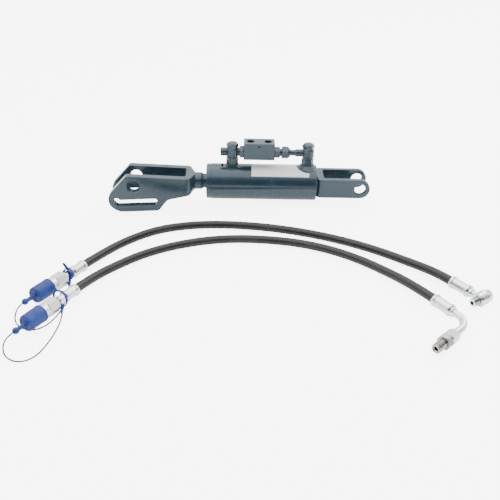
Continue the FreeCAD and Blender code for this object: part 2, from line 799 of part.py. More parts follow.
def make_port(label, port):
    boss = turned(
        label + "_boss_turned",
        ring_profile("0", BOSS_TOP, THREAD_BORE, "boss_d / 2 - 0.02"),
        upright(port),
    )
    middle = at("-tube_length / 2", "0", ALONG)
    barrel = cylinder(label + "_boss_seat", TUBE_OD, "tube_length * 2", middle)
    keep(label + "_port_boss", cut(label + "_boss", boss, barrel))
    bolt_floor = f"{BOSS_TOP} + 3"
    foot = turned(
        label + "_riser_foot",
        [
            (TUBE_R + " + 0.7", "flow_d / 2"),
            (TUBE_R + " + 0.7", THREAD_R),
            (f"{BOSS_TOP} + 1", THREAD_R),
            (f"{BOSS_TOP} + 1", "flow_d / 2"),
        ],
        upright(port),
    )
    hexes = nut(label + "_riser_hex", "riser_flats", BOSS_TOP, RISER_TOP, THREAD_BORE, upright(port), "1")
    web_ring = ring_profile(BOSS_TOP, bolt_floor, "flow_d / 2", THREAD_R + " + 0.5")
    web = turned(label + "_riser_web", web_ring, upright(port))
    keep(label + "_riser", fused(label + "_riser_whole", foot, hexes, web))
    head = [
        (HEAD_LOW, "0"),
        (HEAD_LOW, "banjo_bolt_flats / 2 / cos(30) + 0.4"),
        (HEAD_LOW + " + 1", "banjo_bolt_flats / 2 / cos(30) + 0.4"),
        (HEAD_LOW + " + 1", "banjo_bolt_flats / 2 / cos(30)"),
        (HEAD_LOW + " + banjo_bolt_head * 0.6", "banjo_bolt_flats / 2 / cos(30)"),
        (HEAD_LOW + " + banjo_bolt_head * 0.9", "banjo_bolt_flats / 2 * 0.86"),
        (HEAD_LOW + " + banjo_bolt_head", "banjo_bolt_flats / 2 * 0.62"),
        (HEAD_LOW + " + banjo_bolt_head", "0"),
    ]
    head_turned = turned(label + "_bolt_dome", head, upright(port))
    head_foot = at(port, HEAD_LOW + " - 0.5")
    bar = hexagon(label + "_bolt_bar", "banjo_bolt_flats", "banjo_bolt_head + 1", head_foot)
    shank = turned(
        label + "_bolt_shank",
        [
            (bolt_floor + " + 0.5", "bolt_hollow_d / 2"),
            (bolt_floor + " + 0.5", THREAD_R + " - 1"),
            (bolt_floor + " + 1.5", THREAD_R),
            (HEAD_LOW, THREAD_R),
            (HEAD_LOW + " + 0.5", "0"),
            (f"{PORT_AXIS} + 4", "0"),
            (f"{PORT_AXIS} + 4", "bolt_hollow_d / 2"),
        ],
        upright(port),
    )
    drill = cylinder(
        label + "_bolt_drill",
        "cross_drill_d",
        "thread_d + 4",
        at("%s - thread_d / 2 - 2" % port, PORT_AXIS, ALONG),
    )
    bolt_head = shared(label + "_bolt_head", head_turned, bar)
    bolt = fused(label + "_bolt_whole", bolt_head, cut(label + "_bolt_stem", shank, drill))
    keep(label + "_banjo_bolt", bolt)
    washers = []
    for number, low in enumerate((RISER_TOP, BANJO_HIGH)):
        high = "%s + washer_thickness" % low
        band = ring_profile(low, high, "thread_d / 2 + banjo_bore_fit", "banjo_bolt_flats / 2")
        washers.append(turned("%s_washer_%d" % (label, number), band, upright(port)))
    return washers


def banjo_barrel(label, port):
    bore = "(thread_d / 2 + banjo_bore_fit)"
    outer = "banjo_d / 2"
    profile = [
        (BANJO_LOW, bore),
        (BANJO_LOW, outer + " - 1.8"),
        (BANJO_LOW + " + 2.5", outer),
        (BANJO_HIGH + " - 2.5", outer),
        (BANJO_HIGH, outer + " - 1.8"),
        (BANJO_HIGH, bore),
        (f"{PORT_AXIS} + 4", bore),
        (f"{PORT_AXIS} + 4", "banjo_groove_d / 2"),
        (f"{PORT_AXIS} - 4", "banjo_groove_d / 2"),
        (f"{PORT_AXIS} - 4", bore),
    ]
    return turned(label + "_barrel", profile, upright(port))


def make_banjos():
    start = "rod_port_place + banjo_groove_d / 2 + 0.4"
    block_in = "block_start + side_thread_depth"
    tip = [
        (start, "flow_d / 2"),
        (start, "boss_d / 2 - 3"),
        ("rod_port_place + banjo_d / 2 + 1.5", "boss_d / 2 - 3"),
        ("rod_port_place + banjo_d / 2 + 1.5", THREAD_R),
        (block_in + " - 1", THREAD_R),
        (block_in, THREAD_R + " - 1"),
        (block_in, "flow_d / 2"),
    ]
    arm = turned("Rod_banjo_arm", tip, at("0", PORT_AXIS))
    far = "rod_port_place - blind_arm_length"
    near = "rod_port_place - banjo_groove_d / 2 - 0.4"
    blind = [
        (far, "3.5"),
        (far, "blind_arm_d / 2 - 1"),
        (far + " + 1", "blind_arm_d / 2"),
        (near, "blind_arm_d / 2"),
        (near, "0"),
        (far + " + 6", "0"),
        (far + " + 6", "3.5"),
    ]
    stub = turned("Rod_banjo_stub", blind, at("0", PORT_AXIS))
    keep("rod_end_banjo", fused("Rod_banjo", banjo_barrel("Rod_banjo", "rod_port_place"), arm, stub))
    lock_start = "block_start - lock_nut_length"
    axis = at("0", PORT_AXIS)
    lock = nut("Lock_nut", "lock_nut_flats", lock_start, "block_start", THREAD_BORE, axis)
    keep("banjo_lock_nut", lock)
    sleeve_end = "base_port_place - banjo_groove_d / 2 - 0.4"
    sleeve_start = "base_port_place - banjo_d / 2 - banjo_sleeve_length + 2"
    pipe_socket = "(%s + 13)" % sleeve_start
    sleeve = [
        (sleeve_start, "pipe_d / 2 + static_fit"),
        (sleeve_start, "pipe_d / 2 + 1"),
        (sleeve_start + " + 2", "banjo_sleeve_d / 2"),
        (sleeve_end, "banjo_sleeve_d / 2"),
        (sleeve_end, "flow_d / 2"),
        (pipe_socket, "flow_d / 2"),
        (pipe_socket, "pipe_d / 2 + static_fit"),
    ]
    arm = turned("Base_banjo_sleeve", sleeve, at("0", PORT_AXIS))
    keep("base_end_banjo", fused("Base_banjo", banjo_barrel("Base_banjo", "base_port_place"), arm))
    pipe_start = "block_start + block_length + stud_hex_length + stud_neck_length + stud_nose_length - 4"
    pipe = ring_profile(pipe_start, pipe_socket + " - 0.3", "pipe_d / 2 - pipe_wall", "pipe_d / 2")
    keep("bridge_pipe", turned("Bridge_pipe", pipe, at("0", PORT_AXIS)))


# Valve block and what works inside it
BLOCK_MIDDLE = "(block_start + block_length / 2)"
BLOCK_LOW = f"({PORT_AXIS} - block_below_axis)"
BLOCK_TOP = f"({PORT_AXIS} - block_below_axis + block_height)"


def make_valve():
    half = "block_length / 2"
    outline = [
        (BLOCK_MIDDLE + " - " + half, BLOCK_LOW),
        (BLOCK_MIDDLE + " + " + half, BLOCK_LOW),
        (BLOCK_MIDDLE + " + " + half, BLOCK_TOP),
        (BLOCK_MIDDLE + " - " + half, BLOCK_TOP),
    ]
    bar = padded("Block_bar", "XZ_Plane", outline, "block_depth")
    edges = doc.addObject("Part::Chamfer", "Block_edges")
    edges.Base = bar
    edge = value("block_edge")
    edges.Edges = [(i + 1, edge, edge) for i in range(len(bar.Shape.Edges))]
    inner = "block_length / 2 - side_thread_depth"
    cavity = [
        (BLOCK_MIDDLE + " - block_length / 2 - 1", "0"),
        (BLOCK_MIDDLE + " - block_length / 2 - 1", THREAD_BORE),
        (BLOCK_MIDDLE + " - (" + inner + ")", THREAD_BORE),
        (BLOCK_MIDDLE + " - (" + inner + ")", "valve_bore_d / 2"),
        (BLOCK_MIDDLE + " + " + inner, "valve_bore_d / 2"),
        (BLOCK_MIDDLE + " + " + inner, THREAD_BORE),
        (BLOCK_MIDDLE + " + block_length / 2 + 1", THREAD_BORE),
        (BLOCK_MIDDLE + " + block_length / 2 + 1", "0"),
    ]
    tools = [turned("Block_cavity", cavity, at("0", PORT_AXIS))]
    bolt_place = V(value(BLOCK_MIDDLE), value("block_depth"), value(BLOCK_TOP + " - block_hole_drop"))
    across = FreeCAD.Rotation(V(1, 0, 0), 90)
    bolt_line = FreeCAD.Placement(bolt_place, across)
    tools.append(cylinder("Block_hole", "block_hole_d", "block_depth * 2", bolt_line))
    for side, sign in (("rod", "-"), ("base", "+")):
        port = "%s %s top_port_spacing / 2" % (BLOCK_MIDDLE, sign)
        mouth = [
            (BLOCK_TOP + " - top_port_depth - 2.5", "0"),
            (BLOCK_TOP + " - top_port_depth", "top_port_d / 2"),
            (BLOCK_TOP + " - 1", "top_port_d / 2"),
            (BLOCK_TOP, "top_port_d / 2 + 1"),
            (BLOCK_TOP + " + 2", "top_port_d / 2 + 1"),
            (BLOCK_TOP + " + 2", "0"),
        ]
        tools.append(turned("Top_port_" + side, mouth, upright(port)))
        start = V(value(port), 0, value(BLOCK_TOP + " - top_port_depth"))
        chamber = "%s %s (pilot_land + seat_inner) / 2" % (BLOCK_MIDDLE, sign)
        target = V(value(chamber), 0, value(f"{PORT_AXIS} + 3"))
        drill = doc.addObject("Part::Cylinder", "Slant_drill_" + side)
        drill.setExpression("Radius", bound("cross_drill_d / 2"))
        drill.Height = (target - start).Length + 4
        drill.Placement = FreeCAD.Placement(start, FreeCAD.Rotation(V(0, 0, 1), target - start))
        tools.append(drill)
    keep("valve_block", cut("Valve_block", edges, *tools))
    seats = []
    springs = []
    for side, facing in (("rod", HALF_TURN), ("base", FreeCAD.Rotation())):
        place = at(BLOCK_MIDDLE, PORT_AXIS, facing)
        face = "(seat_inner + seat_thickness)"
        seat = ring_profile("seat_inner", face, "seat_bore_d / 2", "valve_bore_d / 2 - 0.02")
        seats.append(turned("Seat_" + side, seat, place))
        poppet = [
            ("poppet_tip", "0"),
            ("poppet_tip", "1.6"),
            (face + " + 0.05", "seat_bore_d / 2 - 0.1"),
            (face + " + poppet_cone", "poppet_d / 2"),
            ("poppet_back", "poppet_d / 2"),
            ("poppet_back", "poppet_stem_d / 2"),
            ("poppet_back + poppet_stem_length", "poppet_stem_d / 2"),
            ("poppet_back + poppet_stem_length", "0"),
        ]
        keep("check_poppet_%s_side" % side, turned("Poppet_" + side, poppet, place))
        stem_end = "block_length / 2 - side_thread_depth"
        radius = "poppet_d / 2 - 0.8"
        springs.append(coil("Check_spring_" + side, place, "poppet_back", stem_end, radius, 3))
    keep("check_seats", fused("Check_seats", *seats))
    keep("check_springs", fused("Check_springs", *springs))
    ring_low = "(-pilot_ring_section / 2)"
    ring_high = "(pilot_ring_section / 2)"
    land = "(valve_bore_d / 2 - running_fit)"
    pin = "pilot_pin_d / 2"
    pilot = [
        ("-pilot_reach", "0"),
        ("-pilot_reach", pin),
        ("-pilot_land", pin),
        ("-pilot_land", land),
        (ring_low, land),
        (ring_low, land + " - pilot_ring_section"),
        (ring_high, land + " - pilot_ring_section"),
        (ring_high, land),
        ("pilot_land", land),
        ("pilot_land", pin),
        ("pilot_reach", pin),
        ("pilot_reach", "0"),
    ]
    centre = at(BLOCK_MIDDLE, PORT_AXIS)
    keep("pilot_piston", turned("Pilot_piston", pilot, centre))
    ring = ring_profile(
        ring_low + " + 0.02",
        ring_high + " - 0.02",
        land + " - pilot_ring_section + 0.02",
        "valve_bore_d / 2 - 0.03",
        "0.4",
    )
    keep("pilot_o_ring", turned("Pilot_ring", ring, centre))


def coil(name, place, low, high, radius, turns):
    """A spring along local x, from one seat to the other: its turns are rings joined by short links."""
    wire = value("check_spring_wire")
    start = value(low) + wire / 2 + 0.02
    pitch = (value(high) - value(low) - wire - 0.04) / (turns - 1)
    pieces = []
    for number in range(turns):
        middle = start + pitch * number
        inner = "%s - check_spring_wire / 2" % radius
        outer = "%s + check_spring_wire / 2" % radius
        half = "check_spring_wire / 2"
        band = ring_profile("-" + half, half, inner, outer, "check_spring_wire * 0.2")
        spot = place.multiply(FreeCAD.Placement(V(middle, 0, 0), FreeCAD.Rotation()))
        pieces.append(turned("%s_turn_%d" % (name, number), band, spot))
        if number + 1 < turns:
            side = value(radius) * (-1) ** number
            foot = place.multiply(FreeCAD.Placement(V(middle, side, 0), ALONG))
            link = "%s_link_%d" % (name, number)
            pieces.append(cylinder(link, "check_spring_wire * 0.8", str(pitch), foot))
    return fused(name, *pieces)


def make_union():
    face = "(block_start + block_length)"
    neck = "(%s + stud_hex_length)" % face
    nose = "(%s + stud_neck_length)" % neck
    nose_end = "(%s + stud_nose_length)" % nose
    axis = at("0", PORT_AXIS)
    stem = [
        (face + " - side_thread_depth", "flow_d / 2"),
        (face + " - side_thread_depth", THREAD_R + " - 1"),
        (face + " - side_thread_depth + 1", THREAD_R),
        (face, THREAD_R),
        (face, "stud_flats / 2 * 0.9"),
        (neck, "stud_flats / 2 * 0.9"),
        (neck, "stud_nose_d / 2 - 1"),
        (nose, "stud_nose_d / 2 - 1"),
        (nose, "stud_nose_d / 2"),
        (nose_end, "stud_nose_d / 2"),
        (nose_end, "pipe_d / 2 + 1.4"),
        (nose_end + " - 4.2", "pipe_d / 2 + 0.1"),
        (nose_end + " - 4.2", "flow_d / 2"),
    ]
    body = turned("Stud_stem", stem, axis)
    axis = at("0", PORT_AXIS)
    grip = nut("Stud_hex", "stud_flats", face, neck, "stud_flats / 2 * 0.5", axis, "1.4")
    keep("stud_adapter", fused("Stud_adapter", body, grip))
    nut_end = "(%s + union_nut_length)" % nose
    ring_end = nose_end + " + cutting_ring_length - 3"
    hollow = [
        (nose + " - 1", "0"),
        (nose + " - 1", "stud_nose_d / 2 + static_fit"),
        (nose_end + " + 1", "stud_nose_d / 2 + static_fit"),
        (ring_end + " + 1", "pipe_d / 2 + 1.6"),
        (ring_end + " + 1", "pipe_d / 2 + static_fit"),
        (nut_end + " + 1", "pipe_d / 2 + static_fit"),
        (nut_end + " + 1", "0"),
    ]
    outside = [
        (nose, "0"),
        (nose, "union_nut_flats / 2 * 0.97"),
        (nose + " + 1.6", "union_nut_flats / 2 / cos(30)"),
        (nut_end + " - 5", "union_nut_flats / 2 / cos(30)"),
        (nut_end + " - 3", "union_nut_flats / 2 * 0.88"),
        (nut_end, "union_nut_flats / 2 * 0.8"),
        (nut_end, "0"),
    ]
    shell = turned("Union_outside", outside, axis)
    bar = hexagon("Union_bar", "union_nut_flats", "union_nut_length", at(nose, PORT_AXIS, ALONG))
    blank = shared("Union_blank", shell, bar)
    keep("union_nut", cut("Union_nut", blank, turned("Union_hollow", hollow, axis)))
    wedge = [
        (nose_end + " - 3", "pipe_d / 2 + 0.02"),
        (nose_end + " - 3", "pipe_d / 2 + 0.25"),
        (nose_end + " + 0.1", "pipe_d / 2 + 1.3"),
        (ring_end, "pipe_d / 2 + 1.3"),
        (ring_end, "pipe_d / 2 + 0.02"),
    ]
    keep("cutting_ring", turned("Cutting_ring", wedge, axis))


# Hoses. Each route is a list of points in the floor's frame, x along the arm from its middle.
def floor_frame(start, heading, rise):
    """Local x leaves start along a compass heading on the floor, rising by an angle; z stays up."""
    flat = V(math.cos(math.radians(heading)), math.sin(math.radians(heading)), 0)
    lift = math.radians(rise)
    ahead = flat * math.cos(lift) + V(0, 0, math.sin(lift))
    left = V(-flat.y, flat.x, 0)
    return FreeCAD.Placement(start, FreeCAD.Rotation(ahead, left, ahead.cross(left), "XYZ"))


REAR_ROUTE = [
    V(-285.4, -261.5, 10.9),
    V(-261.8, -222.0, 8.5),
    V(-222, -174, 8.1),
    V(-165, -132, 8.1),
    V(-92, -116, 8.1),
    V(-12, -121, 8.1),
    V(75, -142, 8.1),
    V(163, -178, 8.1),
    V(243, -227, 8.1),
    V(308, -283, 8.1),
    V(345, -325.7, 12.2),
    V(363.5, -353.7, 12.2),
]
FRONT_ROUTE = [
    V(-283.6, -340.8, 11.6),
    V(-264.0, -304.0, 8.9),
    V(-232, -268, 8.1),
    V(-183, -225, 8.1),
    V(-118, -193, 8.1),
    V(-38, -176, 8.1),
    V(48, -183, 8.1),
    V(130, -207, 8.1),
    V(203, -252, 8.1),
    V(260, -310, 8.1),
    V(298, -363.2, 11.4),
    V(322.2, -403.6, 11.4),
]
REAR_STRAP = [
    V(-361.6, -389.1, 18.7),
    V(-366.2, -397.0, 18.0),
    V(-370.8, -406.0, 9.5),
    V(-369.5, -416.5, 2.6),
    V(-361.5, -428.0, 1.5),
    V(-348.0, -438.5, 1.5),
    V(-330.0, -441.0, 1.5),
    V(-315.0, -430.0, 1.5),
    V(-305.5, -411.0, 1.5),
    V(-300.0, -390.0, 1.5),
    V(-299.0, -367.0, 1.5),
    V(-301.0, -344.0, 1.5),
    V(-302.3, -326.0, 1.5),
    V(-300.8, -315.5, 2.2),
    V(-300.4, -308.5, 4.4),
    V(-301.7, -302.5, 6.4),
]
FRONT_STRAP = [
    V(-353.4, -471.9, 21.2),
    V(-358.8, -482.0, 21.6),
    V(-364.5, -491.5, 15.0),
    V(-363.0, -503.0, 5.5),
    V(-352.5, -513.0, 1.6),
    V(-337.0, -520.0, 1.5),
    V(-321.0, -516.0, 1.5),
    V(-309.0, -501.0, 1.5),
    V(-302.5, -480.0, 1.5),
    V(-297.5, -458.0, 1.5),
    V(-294.5, -434.0, 1.5),
    V(-294.5, -412.0, 1.6),
    V(-296.0, -395.0, 3.0),
    V(-297.9, -382.5, 7.6),
]


def cord(label, points, diameter):
    """A round cord along straight runs joined by tangent arcs, as large as the runs allow."""
    edges = []
    radii = []
    last = points[0]
    for before, corner, after in zip(points, points[1:], points[2:]):
        into = corner - before
        out = after - corner
        half = into.getAngle(out) / 2
        shorter = min(into.Length, out.Length)
        reach = 0.45 * shorter
        start = corner - V(into).normalize() * reach
        end = corner + V(out).normalize() * reach
        radius = reach / math.tan(half)
        bisector = (V(out).normalize() - V(into).normalize()).normalize()
        middle = corner + bisector * (radius / math.cos(half) - radius)
        edges.append(Part.LineSegment(last, start).toShape())
        edges.append(Part.Arc(start, middle, end).toShape())
        radii.append(radius)
        last = end
    edges.append(Part.LineSegment(last, points[-1]).toShape())
    path = Part.Wire(edges)
    section = Part.Wire(Part.Circle(points[0], points[1] - points[0], diameter / 2).toShape())
    tube = path.makePipeShell([section], True, False)
    area = math.pi * diameter * diameter / 4
    print("%s: length %.1f, smallest radius %.1f, volume against section times length %.4f" % (
        label, path.Length, min(radii), tube.Volume / area / path.Length))
    print("  radii " + " ".join("%.0f" % r for r in radii))
    piece = doc.addObject("Part::Feature", label)
    piece.Shape = tube
    keep(label, piece, True)


def heading_of(points, index=0):
    """Compass heading and rise from a route's second point out through its end, or its last."""
    ahead = points[0] - points[1] if index == 0 else points[-1] - points[-2]
    rise = math.atan2(ahead.z, math.hypot(ahead.x, ahead.y))
    return math.degrees(math.atan2(ahead.y, ahead.x)), math.degrees(rise)


def make_ferrule(label, place, length):
    outer = "ferrule_d / 2"
    low = "ferrule_d / 2 - ferrule_step"
    profile = [
        ("0", "0"),
        ("0", outer + " - 0.6"),
        ("1.5", outer),
        ("5", outer),
        ("6", low),
        (length + " - 8", low),
        (length + " - 7", outer),
        (length + " - 3", outer),
        (length, "plug_neck_d / 2"),
        (length, "0"),
    ]
    keep(label, turned(label + "_turned", profile, place), True)


def make_plug(side, place):
    """A male quick-coupling plug: neck, hexagon, collar and bored nose with a sprung valve."""
    start = "ferrule_length"
    hex_end = "plug_hex_start + plug_hex_length"
    nose_end = "plug_nose_start + plug_nose_length"
    neck = "plug_neck_d / 2"
    nose = "plug_nose_d / 2"
    valve_back = nose_end + " - plug_valve_length"
    profile = [
        (start, "0"),
        (start, neck),
        ("strap_ring_place - strap_ring_width / 2 - 0.2", neck),
        ("plug_hex_start - 2", neck),
        ("plug_hex_start", "plug_hex_flats / 2 - 1"),
        (hex_end, "plug_hex_flats / 2 - 1"),
        (hex_end, "plug_collar_d / 2 - 1"),
        (hex_end + " + 2", "plug_collar_d / 2"),
        ("plug_nose_start - 0.75", "plug_collar_d / 2"),
        ("plug_nose_start - 0.75", nose),
        ("plug_nose_start + 8", nose),
        ("plug_nose_start + 9.5", nose + " - 1.6"),
        ("plug_nose_start + 13.5", nose + " - 1.6"),
        ("plug_nose_start + 15", nose),
        (nose_end + " - 4", nose),
        (nose_end, nose + " - 2"),
        (nose_end, "plug_valve_d / 2 + running_fit"),
        (nose_end + " - 3", "plug_valve_d / 2 + running_fit"),
        (nose_end + " - 3", "plug_bore_d / 2"),
        (valve_back + " - plug_spring_room", "plug_bore_d / 2"),
        (valve_back + " - plug_spring_room", "0"),
    ]
    body = turned(side + "_plug_turned", profile, place)
    grip = nut(side + "_plug_hex", "plug_hex_flats", "plug_hex_start", hex_end, "plug_neck_d / 4")
    grip.Placement = place.multiply(FLAT_DOWN)
    core_ring = ring_profile("plug_hex_start + 1", hex_end + " - 1", "0", "plug_neck_d / 3")
    core = turned(side + "_plug_core", core_ring, place)
    keep(side + "_plug_body", fused(side + "_plug", body, grip, core), True)
    valve = [
        (valve_back, "0"),
        (valve_back, "plug_valve_d / 2 + 0.8"),
        (nose_end + " - 3 - plug_valve_lead", "plug_valve_d / 2 + 0.8"),
        (nose_end + " - 3 - plug_valve_lead * 0.2", "plug_valve_d / 2"),
        (nose_end + " - 0.8", "plug_valve_d / 2"),
        (nose_end, "plug_valve_d / 2 - 0.8"),
        (nose_end, "0"),
    ]
    keep(side + "_plug_valve", turned(side + "_valve", valve, place), True)
    room = valve_back + " - plug_spring_room"
    return coil(side + "_plug_spring", place, room, valve_back, "plug_valve_d / 2 - 0.5", 4)


def make_cap(side, place):
    """A dust cap: cup, stem and bead in one moulding, pushed over the plug's nose."""
    mouth = "plug_nose_start - 0.7"
    end = "(plug_nose_start - 0.7 + cap_length)"
    bore = "plug_nose_d / 2 + cap_lip"
    outer = "cap_d / 2"
    stem = "cap_stem_d / 2"
    bead = end + " + cap_stem_length"
    profile = [
        (mouth, bore),
        (mouth, outer + " - 0.8"),
        (mouth + " + 0.8", outer),
        (end + " - 2", outer),
        (end, outer + " - 2"),
        (end, stem + " + 1"),
        (end + " + 1.5", stem),
        (bead, stem),
        (bead + " + 1.5", "cap_bead_d / 2"),
        (bead + " + cap_bead_length - 3", "cap_bead_d / 2"),
        (bead + " + cap_bead_length", "strap_d / 2 + 0.4"),
        (bead + " + cap_bead_length", "0"),
        (end + " - cap_floor", "0"),
        (end + " - cap_floor", bore),
    ]
    keep(side + "_dust_cap", turned(side + "_cap", profile, place), True)
    ring = ring_profile(
        "strap_ring_place - strap_ring_width / 2",
        "strap_ring_place + strap_ring_width / 2",
        "plug_neck_d / 2 + 0.05",
        "plug_neck_d / 2 + strap_ring_wall",
        "0.8",
    )
    return turned(side + "_strap_ring", ring, place)


def make_eye(place):
    """The rear hose's banjo eye, with its hollow bolt across it."""
    eye_outer = "eye_d / 2"
    bore = "hollow_bolt_d / 2 + banjo_bore_fit"
    sideways = FreeCAD.Rotation(V(0, 0, 1), 90)
    across = place.multiply(FreeCAD.Placement(V(value("eye_place"), 0, 0), sideways))
    half = "(eye_width / 2)"
    barrel = turned("Eye_barrel", ring_profile("-" + half, half, "0", eye_outer, "1.2"), across)
    neck = [
        ("ferrule_long", "0"),
        ("ferrule_long", "eye_neck_d / 2 + 1.5"),
        ("ferrule_long + 4", "eye_neck_d / 2 + 1.5"),
        ("ferrule_long + 6", "eye_neck_d / 2"),
        ("eye_place", "eye_neck_d / 2"),
        ("eye_place", "0"),
    ]
    drill = [("-(eye_width)", "0"), ("-(eye_width)", bore), ("eye_width", bore), ("eye_width", "0")]
    whole = fused("Eye_whole", barrel, turned("Eye_neck", neck, place))
    keep("rear_banjo_eye", cut("Banjo_eye", whole, turned("Eye_drill", drill, across)), True)
    near = half + " + hollow_washer"
    head = nut("Hollow_head", "hollow_bolt_flats", near, near + " + hollow_bolt_head", "hollow_bolt_d / 4")
    head.Placement = across
    radius = "hollow_bolt_d / 2"
    relieved = radius + " - hollow_bolt_relief"
    thread_start = "-(%s) - hollow_thread_runout" % near
    shank = [
        ("-hollow_bolt_tip", "hollow_bolt_bore_d / 2"),
        ("-hollow_bolt_tip", radius + " - 1"),
        ("-hollow_bolt_tip + 1", radius),
        (thread_start, radius),
        (thread_start, relieved),
        (near + " + hollow_bolt_head - 1", relieved),
        (near + " + hollow_bolt_head - 1", "0"),
        ("4", "0"),
        ("4", "hollow_bolt_bore_d / 2"),
    ]
    keep("hollow_bolt", fused("Hollow_bolt", turned("Hollow_shank", shank, across), head), True)
    washers = []
    for number, low in enumerate(("-%s - hollow_washer" % half, half)):
        high = "(%s) + hollow_washer" % low
        band = ring_profile(low, high, "hollow_bolt_d / 2 + 0.02", "hollow_bolt_flats / 2")
        washers.append(turned("Hollow_washer_%d" % number, band, across))
    keep("hollow_bolt_washers", fused("Hollow_washers", *washers), True)


def make_elbow(place):
    """The front hose's swept elbow, its swivel nut and the screwed-in male adapter."""
    start = value("ferrule_long")
    lead = value("elbow_lead")
    radius = value("elbow_radius")
    turn = math.radians(value("elbow_turn"))
    tail = value("elbow_tail")
    bend = V(start + lead, 0, 0)

    def on_arc(angle):
        return bend + V(radius * math.sin(angle), -radius * (1 - math.cos(angle)), 0)

    out = V(math.cos(turn), -math.sin(turn), 0)
    edges = [
        Part.LineSegment(V(start, 0, 0), bend).toShape(),
        Part.Arc(bend, on_arc(turn / 2), on_arc(turn)).toShape(),
        Part.LineSegment(on_arc(turn), on_arc(turn) + out * tail).toShape(),
    ]
    path = Part.Wire(edges)
    ring = Part.Wire(Part.Circle(V(start, 0, 0), V(1, 0, 0), value("elbow_pipe_d / 2")).toShape())
    pipe = doc.addObject("Part::Feature", "Elbow_pipe")
    pipe.Shape = path.makePipeShell([ring], True, False)
    pipe.Placement = place
    collar_ring = ring_profile("ferrule_long", "ferrule_long + 4", "0", "elbow_pipe_d / 2 + 2", "0.8")
    collar = turned("Elbow_collar", collar_ring, place)
    tail_place = place.multiply(
        FreeCAD.Placement(on_arc(turn), FreeCAD.Rotation(V(0, 0, 1), -value("elbow_turn")))
    )
    stop = [
        ("elbow_tail - swivel_nut_length - 2.6", "elbow_pipe_d / 2 - 1"),
        ("elbow_tail - swivel_nut_length - 2.6", "elbow_pipe_d / 2 + 0.5"),
        ("elbow_tail - swivel_nut_length - 0.1", "elbow_pipe_d / 2 + 1.6"),
        ("elbow_tail - swivel_nut_length - 0.1", "elbow_pipe_d / 2 - 1"),
    ]
    sleeve = turned("Elbow_sleeve", stop, tail_place)
    keep("front_elbow_pipe", fused("Front_elbow", pipe, collar, sleeve), True)
    nut_start = "elbow_tail - swivel_nut_length"
    nut_end = "elbow_tail + swivel_nut_lap + 1"
    nut_bore = "elbow_pipe_d / 2 + running_fit"
    swivel = nut("Swivel_nut", "swivel_nut_flats", nut_start, nut_end, nut_bore)
    swivel.Placement = tail_place
    keep("swivel_nut", swivel, True)
    hex_end = "(male_hex_start + male_hex_length)"
    tip = hex_end + " + male_thread_length"
    body = [
        ("elbow_tail + swivel_nut_lap + 1.05", "male_bore_d / 2"),
        ("elbow_tail + swivel_nut_lap + 1.05", "male_neck_d / 2"),
        ("male_hex_start", "male_neck_d / 2"),
        ("male_hex_start", "male_hex_flats / 2 * 0.9"),
        (hex_end, "male_hex_flats / 2 * 0.9"),
        (hex_end, "male_thread_d / 2 - 1"),
        (hex_end + " + 2", "male_thread_d / 2 - 1"),
        (hex_end + " + 3", "male_thread_d / 2"),
        (tip + " - 1.2", "male_thread_d / 2"),
        (tip, "male_thread_d / 2 - 1.2"),
        (tip, "male_bore_d / 2 + 1.5"),
        (tip + " - 2", "male_bore_d / 2"),
    ]
    grip = nut("Male_hex", "male_hex_flats", "male_hex_start", hex_end, "male_hex_flats / 3", None, "1.4")
    grip.Placement = tail_place.multiply(FLAT_DOWN)
    keep("male_adapter", fused("Male_adapter", turned("Male_body", body, tail_place), grip), True)


def make_hoses():
    rear_out, rear_rise = heading_of(REAR_ROUTE)
    front_out, front_rise = heading_of(FRONT_ROUTE)
    rear_plug = floor_frame(REAR_ROUTE[0], rear_out, rear_rise)
    front_plug = floor_frame(FRONT_ROUTE[0], front_out, front_rise)
    make_ferrule("rear_plug_ferrule", rear_plug, "ferrule_length")
    make_ferrule("front_plug_ferrule", front_plug, "ferrule_length")
    springs = [make_plug("rear", rear_plug), make_plug("front", front_plug)]
    keep("plug_springs", fused("Plug_springs", *springs), True)
    rings = [make_cap("rear", rear_plug), make_cap("front", front_plug)]
    keep("strap_rings", fused("Strap_rings", *rings), True)
    rear_end = heading_of(REAR_ROUTE, -1)[0]
    front_end = heading_of(FRONT_ROUTE, -1)[0]
    eye_place = floor_frame(REAR_ROUTE[-1], rear_end, 0)
    elbow_place = floor_frame(FRONT_ROUTE[-1], front_end, 0)
    make_ferrule("rear_banjo_ferrule", eye_place, "ferrule_long")
    make_ferrule("front_elbow_ferrule", elbow_place, "ferrule_long")
    make_eye(eye_place)
    make_elbow(elbow_place)
    cord("rear_hose", REAR_ROUTE, value("hose_d"))
    cord("front_hose", FRONT_ROUTE, value("hose_d"))
    cord("rear_cap_strap", REAR_STRAP, value("strap_d"))
    cord("front_cap_strap", FRONT_STRAP, value("strap_d"))


def rest_place():
    """Lays the arm on the floor: the rod fork's heel and the tube's base end touch it."""
    tube_end = value("tube_length - tube_edge")
    tube_low = value(TUBE_R)
    toe = "(%s - fork_toe_radius)" % TOE_CORNER
    corners = [
        (-value("fork_heel_place"), value("fork_heel_depth")),
        (value(toe), -value(FLOOR_EDGE(toe))),
    ]
    tilt = max(math.atan2(depth - tube_low, tube_end - place) for place, depth in corners)
    turn = FreeCAD.Rotation(V(0, 1, 0), math.degrees(tilt))
    whole = Part.makeCompound([p.Shape for label, p in nodes.items() if label not in floor_nodes])
    turned_whole = whole.transformed(FreeCAD.Placement(V(0, 0, 0), turn).toMatrix(), True)
    box = turned_whole.optimalBoundingBox(False, False)
    drop = turn.multVec(V(tube_end, 0, -tube_low)).z
    middle = (box.XMin + box.XMax) / 2
    print("the arm's axis falls by %.3f degrees" % math.degrees(tilt))
    print("its middle lies %.2f along it" % middle)
    return FreeCAD.Placement(V(-middle, 0, -drop), turn)


